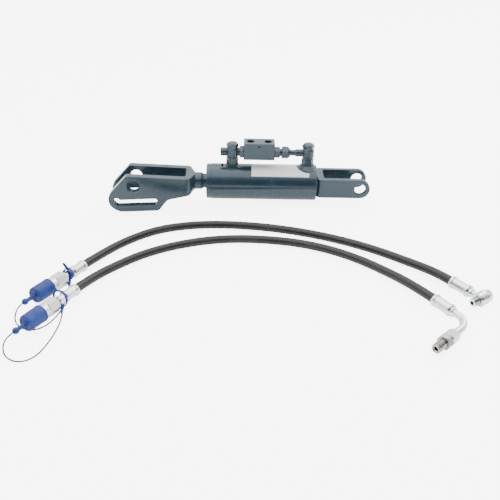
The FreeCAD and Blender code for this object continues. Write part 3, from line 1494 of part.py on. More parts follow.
make_gland()
make_tube()
make_piston()
make_rod_fork()
make_fixed_fork()
make_beads()
washers = make_port("rod_end", "rod_port_place") + make_port("base_end", "base_port_place")
keep("sealing_washers", fused("Sealing_washers", *washers))
make_banjos()
make_valve()
make_union()
make_hoses()
doc.recompute()

rest = rest_place()
for label, piece in nodes.items():
    if label not in floor_nodes:
        piece.Placement = rest.multiply(piece.Placement)
doc.recompute()

faults = ["%s is %s" % (o.Name, o.State) for o in doc.Objects if "Invalid" in o.State or "Error" in o.State]
for label, piece in nodes.items():
    if piece.Shape.isNull() or not piece.Shape.isValid() or not piece.Shape.Solids:
        faults.append("%s has no valid solid" % label)
if faults:
    raise RuntimeError("; ".join(faults))

os.makedirs("parts", exist_ok=True)
for label, piece in nodes.items():
    piece.Shape.exportStep("parts/%s.step" % label)
print("%d nodes written" % len(nodes))
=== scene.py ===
import json
import math

import bmesh
import bpy
from mathutils import Matrix, Vector

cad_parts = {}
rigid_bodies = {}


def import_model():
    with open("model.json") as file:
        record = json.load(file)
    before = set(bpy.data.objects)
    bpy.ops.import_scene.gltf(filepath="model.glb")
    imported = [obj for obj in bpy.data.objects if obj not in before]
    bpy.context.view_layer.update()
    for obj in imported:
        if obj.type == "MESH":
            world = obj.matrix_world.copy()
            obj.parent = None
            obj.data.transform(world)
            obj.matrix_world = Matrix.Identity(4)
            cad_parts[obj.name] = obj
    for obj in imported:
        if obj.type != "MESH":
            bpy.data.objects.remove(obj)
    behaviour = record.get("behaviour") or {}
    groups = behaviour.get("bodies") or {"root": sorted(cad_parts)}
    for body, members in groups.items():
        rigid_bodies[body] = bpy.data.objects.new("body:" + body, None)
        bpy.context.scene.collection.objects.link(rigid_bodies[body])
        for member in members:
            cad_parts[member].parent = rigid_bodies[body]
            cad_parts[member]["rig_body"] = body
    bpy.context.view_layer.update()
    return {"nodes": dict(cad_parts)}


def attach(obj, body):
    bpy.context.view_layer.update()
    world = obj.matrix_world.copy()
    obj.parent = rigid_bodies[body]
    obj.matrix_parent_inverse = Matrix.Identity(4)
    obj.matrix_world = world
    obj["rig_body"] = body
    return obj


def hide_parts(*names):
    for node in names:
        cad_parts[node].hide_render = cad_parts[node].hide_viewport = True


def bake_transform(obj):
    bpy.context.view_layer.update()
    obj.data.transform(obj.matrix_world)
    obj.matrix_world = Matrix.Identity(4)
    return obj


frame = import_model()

NODES = frame["nodes"]
MM = 0.001


def mm(*numbers):
    return Vector(numbers) * MM


def aimed(spot, ahead, up=(0, 0, 1)):
    """A place at spot whose local x points ahead and whose local z is near up."""
    ahead = Vector(ahead).normalized()
    side = Vector(up).cross(ahead).normalized()
    turn = Matrix((ahead, side, ahead.cross(side))).transposed().to_4x4()
    return Matrix.Translation(spot) @ turn


def stepped(place, along):
    """The same place moved along its local x, in mm."""
    return place @ Matrix.Translation((along * MM, 0, 0))


# The arm lies on the floor with its axis falling towards the fixed fork
ARM = Matrix.Translation(mm(-69.17, 0, 49.856)) @ Matrix.Rotation(math.radians(3.1), 4, "Y")
TUBE_R = 37.5
ROD_PORT_X = 53.7
BASE_PORT_X = 211.0


# Camera, at the photograph's own place and angle
CAMERA_SPOT = mm(29.6, -1339.1, 680.2)
SIGHT = Vector((-0.00783, 0.85691, -0.51541)).normalized()
CAMERA_UP = Vector((0.03096, 0.51539, 0.85640)).normalized()
CAMERA_RIGHT = SIGHT.cross(CAMERA_UP).normalized()
camera_data = bpy.data.cameras.new("photo_camera")
camera_data.sensor_width = 36.0
camera_data.lens = 50.0
camera_data.clip_end = 60.0
camera = bpy.data.objects.new("photo_camera", camera_data)
bpy.context.scene.collection.objects.link(camera)
columns = [CAMERA_RIGHT, CAMERA_RIGHT.cross(SIGHT), -SIGHT]
turn = Matrix([[columns[j][i] for j in range(3)] for i in range(3)])
camera.matrix_world = Matrix.Translation(CAMERA_SPOT) @ turn.to_4x4()
bpy.context.scene.camera = camera


# Shader building blocks
class Graph:
    """Short words for adding and joining nodes in one tree."""

    def __init__(self, tree):
        self.tree = tree

    def add(self, kind, **settings):
        node = self.tree.nodes.new(kind)
        for key, value in settings.items():
            setattr(node, key, value)
        return node

    def feed(self, socket, value):
        if isinstance(value, bpy.types.NodeSocket):
            self.tree.links.new(value, socket)
        else:
            socket.default_value = value

    def fill(self, node, **values):
        """Sets or joins the named sockets of a node. An underscore stands for a space."""
        for key, value in values.items():
            self.feed(node.inputs[key.replace("_", " ")], value)

    def noise(self, vector, scale, detail=3.0, roughness=0.55):
        node = self.add("ShaderNodeTexNoise")
        self.fill(node, Vector=vector, Scale=scale, Detail=detail, Roughness=roughness)
        return node.outputs["Fac"]

    def span(self, value, low, high, to_low=0.0, to_high=1.0):
        """Eases from to_low to to_high while the value goes from low to high."""
        node = self.add("ShaderNodeMapRange", interpolation_type="SMOOTHSTEP")
        self.fill(node, Value=value, From_Min=low, From_Max=high, To_Min=to_low, To_Max=to_high)
        return node.outputs["Result"]

    def math(self, operation, a, b=0.0):
        node = self.add("ShaderNodeMath", operation=operation)
        self.feed(node.inputs[0], a)
        self.feed(node.inputs[1], b)
        return node.outputs[0]

    def mix(self, factor, a, b, blend="MIX"):
        node = self.add("ShaderNodeMix", data_type="RGBA", blend_type=blend)
        self.feed(node.inputs["Factor"], factor)
        self.feed(node.inputs[6], a)
        self.feed(node.inputs[7], b)
        return node.outputs[2]

    def bump(self, height, strength, distance):
        node = self.add("ShaderNodeBump")
        self.fill(node, Height=height, Strength=strength, Distance=distance)
        return node.outputs["Normal"]

    def group(self, tree, **inputs):
        node = self.add("ShaderNodeGroup")
        node.node_tree = tree
        self.fill(node, **inputs)
        return node.outputs


def new_group(name, inputs, outputs):
    tree = bpy.data.node_groups.new(name, "ShaderNodeTree")
    for key, kind, default in inputs:
        socket = tree.interface.new_socket(name=key, in_out="INPUT", socket_type=kind)
        socket.default_value = default
    for key, kind in outputs:
        tree.interface.new_socket(name=key, in_out="OUTPUT", socket_type=kind)
    graph = Graph(tree)
    return tree, graph, graph.add("NodeGroupInput"), graph.add("NodeGroupOutput")


def edge_wear_and_shade_group():
    """Corners and rims that have rubbed, broken up by a fine noise, and the hollows that take painted shade, from
    occlusion within 5 mm.
    """
    tree, graph, given, result = new_group(
        "Rubbed edges and hollow shade",
        [("Scale", "NodeSocketFloat", 260.0), ("Reach", "NodeSocketFloat", 0.3)],
        [("Rubbed", "NodeSocketFloat"), ("Hollow_shade", "NodeSocketFloat")],
    )
    place = graph.add("ShaderNodeTexCoord").outputs["Object"]
    grain = graph.noise(place, given.outputs["Scale"], 4.0, 0.6)
    uneven = graph.math("MULTIPLY", graph.math("SUBTRACT", grain, 0.5), 0.7)
    within = graph.add("ShaderNodeAmbientOcclusion", inside=True, only_local=True, samples=4)
    within.inputs["Distance"].default_value = 0.0013
    thin = graph.math("ADD", graph.math("SUBTRACT", 1.0, within.outputs["AO"]), uneven)
    upper = graph.math("ADD", given.outputs["Reach"], 0.16)
    graph.feed(result.inputs["Rubbed"], graph.span(thin, given.outputs["Reach"], upper))
    # Painted shade: occlusion within 5 mm marks the hollows that the materials darken.
    around = graph.add("ShaderNodeAmbientOcclusion", samples=4)
    around.inputs["Distance"].default_value = 0.005
    hollow_shade_mask = graph.math("ADD", graph.math("SUBTRACT", 1.0, around.outputs["AO"]), uneven)
    graph.feed(result.inputs["Hollow_shade"], graph.span(hollow_shade_mask, 0.35, 0.85))
    return tree


def handling_group():
    """Faint smears and dust that change the gloss over a surface."""
    tree, graph, given, result = new_group(
        "Handling",
        [("Scale", "NodeSocketFloat", 30.0), ("Low", "NodeSocketFloat", 0.3), ("High", "NodeSocketFloat", 0.45)],
        [("Roughness", "NodeSocketFloat"), ("Cloud", "NodeSocketFloat")],
    )
    place = graph.add("ShaderNodeTexCoord").outputs["Object"]
    cloud = graph.noise(place, given.outputs["Scale"], 5.0, 0.6)
    fine = graph.noise(place, 900.0, 2.0, 0.5)
    both = graph.math("ADD", graph.math("MULTIPLY", cloud, 0.75), graph.math("MULTIPLY", fine, 0.25))
    gloss = graph.span(both, 0.32, 0.68, given.outputs["Low"], given.outputs["High"])
    graph.fill(result, Roughness=gloss, Cloud=cloud)
    return tree


EDGE_WEAR_AND_SHADE = edge_wear_and_shade_group()
HANDLING = handling_group()


def new_material(name):
    """A bare material, its graph and its Principled shader."""
    material = bpy.data.materials.new(name)
    material.use_nodes = True
    tree = material.node_tree
    tree.nodes.clear()
    graph = Graph(tree)
    surface = graph.add("ShaderNodeBsdfPrincipled")
    output = graph.add("ShaderNodeOutputMaterial")
    tree.links.new(surface.outputs["BSDF"], output.inputs["Surface"])
    return material, graph, surface


def darker(colour, share):
    return tuple(c * share for c in colour[:3]) + (1,)


def paler(colour, share, lift=0.0):
    return tuple(min(1.0, c * share + lift) for c in colour[:3]) + (1,)


def painted(name, colour, low, high, reach=0.34, worn=(0.10, 0.12, 0.13, 1), peel=0.12):
    """Sprayed enamel: slight orange peel, paler rubbed corners, painted shade in the hollows."""
    material, graph, surface = new_material(name)
    place = graph.add("ShaderNodeTexCoord").outputs["Object"]
    wear_and_shade = graph.group(EDGE_WEAR_AND_SHADE, Reach=reach)
    handled = graph.group(HANDLING, Scale=26.0, Low=low, High=high)
    body = graph.mix(graph.span(handled["Cloud"], 0.35, 0.7), colour, paler(colour, 1.22))
    # Painted shade: the hollows take a darker copy of the enamel's own colour.
    body = graph.mix(graph.math("MULTIPLY", wear_and_shade["Hollow_shade"], 0.7), body, darker(colour, 0.55))
    body = graph.mix(graph.math("MULTIPLY", wear_and_shade["Rubbed"], 0.55), body, worn)
    relief = graph.bump(graph.noise(place, 420.0, 2.0, 0.4), peel, 0.0004)
    graph.fill(
        surface, Base_Color=body, Roughness=handled["Roughness"], Specular_Tint=(0.72, 0.9, 1.0, 1),
        Coat_Weight=0.4, Coat_Roughness=0.14, Normal=relief,
    )
    return material


def plated(name, colour, low=0.16, high=0.34, dull=0.75):
    """Bright plate over turned or formed steel, with fine scratches and painted shade in the hollows."""
    material, graph, surface = new_material(name)
    place = graph.add("ShaderNodeTexCoord").outputs["Object"]
    wear_and_shade = graph.group(EDGE_WEAR_AND_SHADE, Reach=0.34)
    handled = graph.group(HANDLING, Scale=60.0, Low=low, High=high)
    body = graph.mix(graph.span(handled["Cloud"], 0.4, 0.75), colour, darker(colour, dull))
    # Painted shade: the hollows take a darker copy of the plate's own colour.
    body = graph.mix(graph.math("MULTIPLY", wear_and_shade["Hollow_shade"], 0.75), body, darker(colour, 0.35))
    scratches = graph.bump(graph.noise(place, 900.0, 3.0, 0.6), 0.10, 0.0002)
    graph.fill(surface, Base_Color=body, Metallic=1.0, Roughness=handled["Roughness"], Normal=scratches)
    return material


def chromed_rod(name, bare_from):
    """Hard chrome, with the builder's paint over the part that stands out of the tube when the arm is short."""
    material, graph, surface = new_material(name)
    place = graph.add("ShaderNodeTexCoord").outputs["Object"]
    split = graph.add("ShaderNodeSeparateXYZ")
    graph.feed(split.inputs[0], place)
    handled = graph.group(HANDLING, Scale=60.0, Low=0.05, High=0.12)
    ragged = graph.math("MULTIPLY", graph.math("SUBTRACT", graph.noise(place, 500.0, 3.0, 0.6), 0.5), 0.004)
    edge = graph.math("ADD", split.outputs["X"], ragged)
    sprayed = graph.span(edge, bare_from + 0.0004, bare_from - 0.0004)
    graph.fill(
        surface,
        Base_Color=graph.mix(sprayed, (0.80, 0.81, 0.82, 1), (0.010, 0.033, 0.050, 1)),
        Metallic=graph.math("SUBTRACT", 1.0, sprayed),
        Roughness=graph.math("ADD", handled["Roughness"], graph.math("MULTIPLY", sprayed, 0.14)),
        Normal=graph.bump(graph.noise(place, 1400.0, 2.0, 0.5), 0.06, 0.0001),
    )
    return material


def rubber(name, colour, low, high, wrap_pitch=None):
    """Black rubber with a fine grain, and on a hose the spiral of its wrapping cloth."""
    material, graph, surface = new_material(name)
    place = graph.add("ShaderNodeTexCoord").outputs["Object"]
    handled = graph.group(HANDLING, Scale=18.0, Low=low, High=high)
    body = graph.mix(graph.span(handled["Cloud"], 0.4, 0.72), colour, paler(colour, 1.9, 0.004))
    height = graph.noise(place, 1100.0, 3.0, 0.6)
    if wrap_pitch:
        along = graph.add("ShaderNodeAttribute", attribute_name="along").outputs["Fac"]
        round_it = graph.add("ShaderNodeAttribute", attribute_name="round_it").outputs["Fac"]
        wrap = graph.math("ADD", graph.math("MULTIPLY", along, 1.0 / wrap_pitch), round_it)
        band = graph.span(graph.math("PINGPONG", wrap, 0.5), 0.0, 0.09)
        weave_a = graph.math("SINE", graph.math("MULTIPLY", along, 5200.0))
        weave_b = graph.math("SINE", graph.math("MULTIPLY", round_it, 150.0))
        weave = graph.math("MULTIPLY", graph.math("MULTIPLY", weave_a, weave_b), 0.16)
        height = graph.math("ADD", graph.math("ADD", height, weave), band)
    graph.fill(
        surface, Base_Color=body, Roughness=handled["Roughness"], Specular_IOR_Level=0.45,
        Normal=graph.bump(height, 0.28, 0.0002),
    )
    return material


def moulded(name, colour):
    """Soft moulded plastic with a faint mould texture."""
    material, graph, surface = new_material(name)
    place = graph.add("ShaderNodeTexCoord").outputs["Object"]
    handled = graph.group(HANDLING, Scale=45.0, Low=0.38, High=0.54)
    body = graph.mix(graph.span(handled["Cloud"], 0.35, 0.7), colour, paler(colour, 1.35, 0.01))
    wear_and_shade = graph.group(EDGE_WEAR_AND_SHADE, Reach=0.36)
    body = graph.mix(graph.math("MULTIPLY", wear_and_shade["Rubbed"], 0.25), body, (0.08, 0.14, 0.40, 1))
    grain = graph.bump(graph.noise(place, 1500.0, 2.0, 0.5), 0.12, 0.0002)
    graph.fill(
        surface, Base_Color=body, Roughness=handled["Roughness"], Specular_IOR_Level=0.34,
        Subsurface_Weight=0.06, Subsurface_Radius=(0.002, 0.002, 0.004), Normal=grain,
    )
    return material


def paper(name):
    """A plain pale sticker: smooth film with soft ripples."""
    material, graph, surface = new_material(name)
    place = graph.add("ShaderNodeTexCoord").outputs["Object"]
    handled = graph.group(HANDLING, Scale=40.0, Low=0.3, High=0.42)
    body = graph.mix(handled["Cloud"], (0.91, 0.91, 0.92, 1), (0.97, 0.97, 0.97, 1))
    ripples = graph.bump(graph.noise(place, 120.0), 0.05, 0.0005)
    graph.fill(surface, Base_Color=body, Roughness=handled["Roughness"], Normal=ripples)
    return material


PAINT = painted("slate_enamel", (0.019, 0.037, 0.052, 1), 0.18, 0.29)
FITTING_PAINT = painted(
    "slate_enamel_fittings", (0.021, 0.037, 0.051, 1), 0.14, 0.26, reach=0.31, worn=(0.24, 0.25, 0.25, 1), peel=0.08
)
ZINC = plated("bright_zinc", (0.95, 0.96, 0.97, 1), dull=0.85)
NICKEL = plated("warm_plate", (0.52, 0.51, 0.47, 1), 0.2, 0.36)
THREAD_PLATE = plated("greenish_plate", (0.42, 0.52, 0.50, 1), 0.18, 0.32)
CHROME = chromed_rod("hard_chrome", -0.0696)
STEEL = plated("turned_steel", (0.48, 0.48, 0.47, 1), 0.25, 0.42)
SPRING = plated("spring_wire", (0.22, 0.22, 0.23, 1), 0.3, 0.42)
BRONZE = plated("bearing_bronze", (0.60, 0.42, 0.20, 1), 0.25, 0.4)
SEAL = rubber("seal_rubber", (0.018, 0.018, 0.018, 1), 0.4, 0.55)
HOSE = rubber("hose_cover", (0.008, 0.0085, 0.010, 1), 0.36, 0.5, wrap_pitch=0.024)
SEAL_PLASTIC = moulded("seal_plastic", (0.20, 0.17, 0.13, 1))
BLUE = moulded("blue_plastic", (0.011, 0.034, 0.20, 1))
STRAP_BLUE = moulded("deep_blue_strap", (0.006, 0.016, 0.11, 1))
LABEL = paper("plain_label")


# Mesh helpers
def placed(name, mesh, material):
    """Puts a mesh into the scene with one material."""
    piece = bpy.data.objects.new(name, mesh)
    bpy.context.scene.collection.objects.link(piece)
    mesh.materials.clear()
    mesh.materials.append(material)
    return piece


def new_piece(name, mesh, material, body, stands_for=()):
    """A piece that rides on one body and may stand for CAD nodes."""
    piece = placed(name, mesh, material)
    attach(piece, body)
    if stands_for:
        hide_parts(*stands_for)
    return piece


def body_of(node):
    return NODES[node]["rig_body"]


def shade(mesh, angle):
    """Smooth shading, kept sharp where faces meet at more than angle in degrees."""
    mesh.shade_smooth()
    mesh.set_sharp_from_angle(angle=math.radians(angle))


def mesh_from(form, name, angle):
    """Closes a bmesh form into a shaded mesh."""
    mesh = bpy.data.meshes.new(name)
    form.to_mesh(mesh)
    form.free()
    shade(mesh, angle)
    return mesh


SHARP_ANGLE = 34


def softened(node, material, edge):
    """The CAD node's own shape with its doubled corners merged and its sharp edges rounded by edge in mm."""
    mesh = NODES[node].data.copy()
    mesh.name = node + "_finished"
    form = bmesh.new()
    form.from_mesh(mesh)
    bmesh.ops.remove_doubles(form, verts=form.verts, dist=2e-6)
    bmesh.ops.dissolve_limit(
        form, angle_limit=math.radians(0.6), use_dissolve_boundaries=False, verts=form.verts, edges=form.edges
    )
    form.to_mesh(mesh)
    form.free()
    mesh.update()
    shade(mesh, SHARP_ANGLE)
    piece = new_piece(node + "_finished", mesh, material, body_of(node), (node,))
    rounding = piece.modifiers.new("rounded_edges", "BEVEL")
    rounding.width = edge * MM
    rounding.segments = 2
    rounding.profile = 0.5
    rounding.limit_method = "ANGLE"
    rounding.angle_limit = math.radians(SHARP_ANGLE)
    rounding.use_clamp_overlap = True
    rounding.harden_normals = True
    rounding.miter_outer = "MITER_ARC"
    piece.modifiers.new("even_faces", "WEIGHTED_NORMAL").keep_sharp = True
    return piece


def reshaped(piece, place, change):
    """Moves each corner by a rule written for the piece's own place, in mm."""
    back = place.inverted()
    for corner in piece.data.vertices:
        local = (back @ corner.co) / MM
        corner.co = place @ (change(local) * MM)
    piece.data.update()


def with_short_edges(form, longest, most_corners, within=lambda part: True):
    """Halves edges, round by round, until none is longer than longest in mm or six rounds are done."""
    bmesh.ops.triangulate(form, faces=[f for f in form.faces if within(f)])
    for _ in range(6):
        long_edges = [e for e in form.edges if within(e) and e.calc_length() > longest * MM]
        if not long_edges:
            break
        bmesh.ops.subdivide_edges(form, edges=long_edges, cuts=1)
        many_cornered = [f for f in form.faces if len(f.verts) > most_corners and within(f)]
        bmesh.ops.triangulate(form, faces=many_cornered)


def finely_cut(piece, longest):
    form = bmesh.new()
    form.from_mesh(piece.data)
    with_short_edges(form, longest, most_corners=4)
    form.to_mesh(piece.data)
    form.free()
    shade(piece.data, 40)


def rim_edges(corners):
    """The edges that join the given corners, each once and in the corners' order."""
    members = set(corners)
    joined = (e for v in corners for e in v.link_edges if e.verts[0] in members and e.verts[1] in members)
    return list(dict.fromkeys(joined))


def drawn_profile(form, profile):
    """A chain of corners and edges from pairs of place along x and radius, in mm."""
    rim = [form.verts.new((along * MM, 0, radius * MM)) for along, radius in profile]
    return rim + [form.edges.new((a, b)) for a, b in zip(rim, rim[1:])]


STEPS_PER_TURN = 28


def threaded(name, place, start, end, root, crest, pitch, material, node):
    """A screw thread's ridge round local x, as one tooth carried along a helix."""
    form = bmesh.new()
    tooth = [(start, root), (start + pitch * 0.42, crest), (start + pitch * 0.58, crest), (start + pitch, root)]
    turns = (end - start) / pitch - 1
    steps = int(turns * STEPS_PER_TURN)
    bmesh.ops.spin(
        form, geom=drawn_profile(form, tooth), cent=(0, 0, 0), axis=(1, 0, 0), angle=math.tau * turns, steps=steps,
        dvec=(turns * pitch * MM / steps, 0, 0),
    )
    bmesh.ops.remove_doubles(form, verts=form.verts, dist=2e-6)
    bmesh.ops.recalc_face_normals(form, faces=form.faces)
    facing_out = sum(f.calc_center_median().yz.dot(f.normal.yz) for f in form.faces)
    if facing_out < 0:
        bmesh.ops.reverse_faces(form, faces=form.faces)
    bmesh.ops.transform(form, matrix=place, verts=form.verts)
    return new_piece(name, mesh_from(form, name, 24), material, body_of(node))


def spun_mesh(name, profile, place, sides, angle):
    """A shape turned about local x from pairs of place and radius in mm."""
    form = bmesh.new()
    bmesh.ops.spin(
        form, geom=drawn_profile(form, profile), cent=(0, 0, 0), axis=(1, 0, 0), angle=math.tau, steps=sides,
        use_merge=True,
    )
    bmesh.ops.remove_doubles(form, verts=form.verts, dist=1e-6)
    bmesh.ops.recalc_face_normals(form, faces=form.faces)
    bmesh.ops.transform(form, matrix=place, verts=form.verts)
    return mesh_from(form, name, angle)


def route_line(name, points):
    """A smooth line through the route's bends: one open NURBS spline with the points as its controls."""
    line = bpy.data.curves.new(name, "CURVE")
    line.dimensions = "3D"
    line.resolution_u = 16
    line.twist_mode = "MINIMUM"
    spline = line.splines.new("NURBS")
    spline.points.add(len(points) - 1)
    for spot, point in zip(spline.points, points):
        spot.co = (*(Vector(point) * MM), 1.0)
    spline.order_u = 3
    spline.use_endpoint_u = True
    return line


def mesh_of(line):
    """The mesh that a curve gives."""
    holder = bpy.data.objects.new("holder", line)
    bpy.context.scene.collection.objects.link(holder)
    bpy.context.view_layer.update()
    mesh = bpy.data.meshes.new_from_object(holder.evaluated_get(bpy.context.evaluated_depsgraph_get()))
    bpy.data.objects.remove(holder)
    return mesh


def tube(name, points, diameter, sides):
    """A mesh tube along a route, with its length and turn as attributes, and the points that it follows."""
    bare = mesh_of(route_line(name + "_line", points))
    path = [v.co.copy() for v in bare.vertices]
    distances = [0.0]
    for a, b in zip(path, path[1:]):
        distances.append(distances[-1] + (b - a).length)
    form = bmesh.new()
    side = Vector((0, 0, 1))
    rings = []
    for i, spot in enumerate(path):
        ahead = (path[min(i + 1, len(path) - 1)] - path[max(i - 1, 0)]).normalized()
        side = (side - ahead * side.dot(ahead)).normalized()
        upright = Matrix((side.cross(ahead), side, ahead)).transposed().to_4x4()
        made = bmesh.ops.create_circle(
            form, cap_ends=i in (0, len(path) - 1), segments=sides, radius=diameter / 2 * MM,
            matrix=Matrix.Translation(spot) @ upright,
        )
        rings.append(made["verts"])
    for near, far in zip(rings, rings[1:]):
        bmesh.ops.bridge_loops(form, edges=rim_edges(near) + rim_edges(far))
    bmesh.ops.recalc_face_normals(form, faces=form.faces)
    mesh = mesh_from(form, name, 60)
    along = mesh.attributes.new("along", "FLOAT", "POINT")
    round_it = mesh.attributes.new("round_it", "FLOAT", "POINT")
    for i in range(len(mesh.vertices)):
        along.data[i].value = distances[i // sides]
        round_it.data[i].value = (i % sides) / sides
    return mesh, path, distances[-1]


# Routes of the hoses and of the caps' straps, in mm
REAR_ROUTE = [
    (-285.4, -261.5, 10.9), (-261.8, -222.0, 8.5), (-222, -174, 8.1), (-165, -132, 8.1), (-92, -116, 8.1),
    (-12, -121, 8.1), (75, -142, 8.1), (163, -178, 8.1), (243, -227, 8.1), (308, -283, 8.1),
    (345, -325.7, 12.2), (363.5, -353.7, 12.2),
]
FRONT_ROUTE = [
    (-283.6, -340.8, 11.6), (-264.0, -304.0, 8.9), (-232, -268, 8.1), (-183, -225, 8.1), (-118, -193, 8.1),
    (-38, -176, 8.1), (48, -183, 8.1), (130, -207, 8.1), (203, -252, 8.1), (260, -310, 8.1),
    (298, -363.2, 11.4), (322.2, -403.6, 11.4),
]
REAR_STRAP = [
    (-361.6, -389.1, 18.7), (-366.2, -397.0, 18.0), (-370.8, -406.0, 9.5), (-369.5, -416.5, 2.6),
    (-361.5, -428.0, 1.5), (-348.0, -438.5, 1.5), (-330.0, -441.0, 1.5), (-315.0, -430.0, 1.5),
    (-305.5, -411.0, 1.5), (-300.0, -390.0, 1.5), (-299.0, -367.0, 1.5), (-301.0, -344.0, 1.5),
    (-302.3, -326.0, 1.5), (-300.8, -315.5, 2.2), (-300.4, -308.5, 4.4), (-301.7, -302.5, 6.4),
]
FRONT_STRAP = [
    (-353.4, -471.9, 21.2), (-358.8, -482.0, 21.6), (-364.5, -491.5, 15.0), (-363.0, -503.0, 5.5),
    (-352.5, -513.0, 1.6), (-337.0, -520.0, 1.5), (-321.0, -516.0, 1.5), (-309.0, -501.0, 1.5),
    (-302.5, -480.0, 1.5), (-297.5, -458.0, 1.5), (-294.5, -434.0, 1.5), (-294.5, -412.0, 1.6),
    (-296.0, -395.0, 3.0), (-297.9, -382.5, 7.6),
]
HOSE_D = 16.0
STRAP_D = 2.6


def cord_piece(name, node, points, diameter, sides, material):
    """A cord's visible tube, in place of its CAD node, and the points that it follows."""
    mesh, path, length = tube(name, points, diameter, sides)
    piece = placed(name, mesh, material)
    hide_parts(node)
    print(name, "smooth length", round(length, 4))
    return piece, path


HOSE_SIDES = 28
STRAP_SIDES = 12
rear_hose, rear_path = cord_piece("rear_hose_cover", "rear_hose", REAR_ROUTE, HOSE_D, HOSE_SIDES, HOSE)
front_hose, front_path = cord_piece("front_hose_cover", "front_hose", FRONT_ROUTE, HOSE_D, HOSE_SIDES, HOSE)
rear_strap, rear_strap_path = cord_piece(
    "rear_strap_cord", "rear_cap_strap", REAR_STRAP, STRAP_D, STRAP_SIDES, STRAP_BLUE
)
front_strap, front_strap_path = cord_piece(
    "front_strap_cord", "front_cap_strap", FRONT_STRAP, STRAP_D, STRAP_SIDES, STRAP_BLUE
)
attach(rear_hose, "barrel")
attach(front_hose, "barrel")
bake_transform(rear_strap)
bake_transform(front_strap)


# Finishes of the CAD nodes that show: their edges are softened, by the given width in mm
finished = {}
PAINTED_EDGES = {
    "cylinder_tube": 0.5, "gland": 0.6, "rod_fork": 1.6, "fixed_fork": 1.1, "weld_beads": 0.8,
    "rod_end_port_boss": 0.3, "base_end_port_boss": 0.3, "rod_weld_bead": 0.6,
}
FITTING_EDGES = {
    "rod_end_riser": 0.35, "base_end_riser": 0.35, "rod_end_banjo": 0.5, "base_end_banjo": 0.5,
    "rod_end_banjo_bolt": 0.4, "base_end_banjo_bolt": 0.4, "banjo_lock_nut": 0.35, "valve_block": 0.45,
    "stud_adapter": 0.35, "union_nut": 0.35, "bridge_pipe": 0.1, "sealing_washers": 0.15,
}
ZINC_EDGES = {
    "rear_plug_ferrule": 0.5, "front_plug_ferrule": 0.5, "rear_banjo_ferrule": 0.5, "front_elbow_ferrule": 0.5,
    "rear_plug_body": 0.4, "front_plug_body": 0.4, "rear_banjo_eye": 0.6, "front_elbow_pipe": 0.3,
    "swivel_nut": 0.4, "hollow_bolt": 0.35, "hollow_bolt_washers": 0.15,
}
for edges, material in ((PAINTED_EDGES, PAINT), (FITTING_EDGES, FITTING_PAINT), (ZINC_EDGES, ZINC)):
    for node, edge in edges.items():
        finished[node] = softened(node, material, edge)
finished["male_adapter"] = softened("male_adapter", NICKEL, 0.4)


# Places of the hoses' ends, from the routes' own ends
def end_place(end, before, level=False):
    """A place at a hose's end with its local x pointing on out of the hose."""
    ahead = Vector(end) - Vector(before)
    if level:
        ahead.z = 0
    return aimed(Vector(end) * MM, ahead)


REAR_PLUG = end_place(REAR_ROUTE[0], REAR_ROUTE[1])
FRONT_PLUG = end_place(FRONT_ROUTE[0], FRONT_ROUTE[1])
REAR_END = end_place(REAR_ROUTE[-1], REAR_ROUTE[-2], level=True)
FRONT_END = end_place(FRONT_ROUTE[-1], FRONT_ROUTE[-2], level=True)
EYE_X = 62.3
BOLT = REAR_END @ Matrix.Translation((EYE_X * MM, 0, 0)) @ Matrix.Rotation(math.radians(90), 4, "Z")
ELBOW_LEAD = 51.0
ELBOW_R = 30.0
ELBOW_TURN = math.radians(78)
BEND = FRONT_END @ Matrix.Translation(mm(ELBOW_LEAD, -ELBOW_R, 0)) @ Matrix.Rotation(-ELBOW_TURN, 4, "Z")
TAIL = BEND @ Matrix.Translation(mm(0, ELBOW_R, 0))


# Threads: the plain ends are turned down to the root, and a ridge is wound on them
def turned_down(node, place, start, end, crest, root):
    """Takes the part of a node between start and end down from its crest radius to the thread's root."""
    def change(local):
        radius = math.hypot(local.y, local.z)
        if start <= local.x <= end and root < radius < crest + 0.1:
            return Vector((local.x, local.y * root / radius, local.z * root / radius))
        return local

    reshaped(finished[node], place, change)


THREAD_PITCH = 1.5
turned_down("hollow_bolt", BOLT, start=-21.2, end=-9.8, crest=7.0, root=6.25)
turned_down("male_adapter", TAIL, start=48.2, end=67.2, crest=8.0, root=7.15)
threaded("hollow_bolt_thread", BOLT, -21.3, -9.9, 6.2, 7.0, THREAD_PITCH, THREAD_PLATE, "hollow_bolt")
threaded("male_adapter_thread", TAIL, 48.3, 67.2, 7.1, 8.0, THREAD_PITCH, NICKEL, "male_adapter")


# Springs: coiled wire, one per valve
SPRING_WIRE = 0.9
SPRING_GAP = 0.02


def coil_spring(name, place, low, high, radius, turns, node):
    """Wire wound from low to high along local x."""
    form = bmesh.new()
    run = high - low - SPRING_WIRE - 2 * SPRING_GAP
    foot = mm(low + SPRING_WIRE / 2 + SPRING_GAP, 0, radius)
    upright = Matrix.Translation(foot) @ Matrix.Rotation(math.radians(90), 4, "X")
    made = bmesh.ops.create_circle(form, cap_ends=False, segments=8, radius=SPRING_WIRE / 2 * MM, matrix=upright)
    first = rim_edges(made["verts"])
    steps = turns * STEPS_PER_TURN
    swept = bmesh.ops.spin(
        form, geom=made["verts"] + first, cent=(0, 0, 0), axis=(1, 0, 0), angle=math.tau * turns, steps=steps,
        dvec=(run * MM / steps, 0, 0),
    )
    last = [e for e in swept["geom_last"] if isinstance(e, bmesh.types.BMEdge)]
    for rim in (first, last):
        bmesh.ops.contextual_create(form, geom=rim)
    bmesh.ops.recalc_face_normals(form, faces=form.faces)
    bmesh.ops.transform(form, matrix=place, verts=form.verts)
    spring = placed(name, mesh_from(form, name, 40), SPRING)
    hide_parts(node)
    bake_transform(spring)


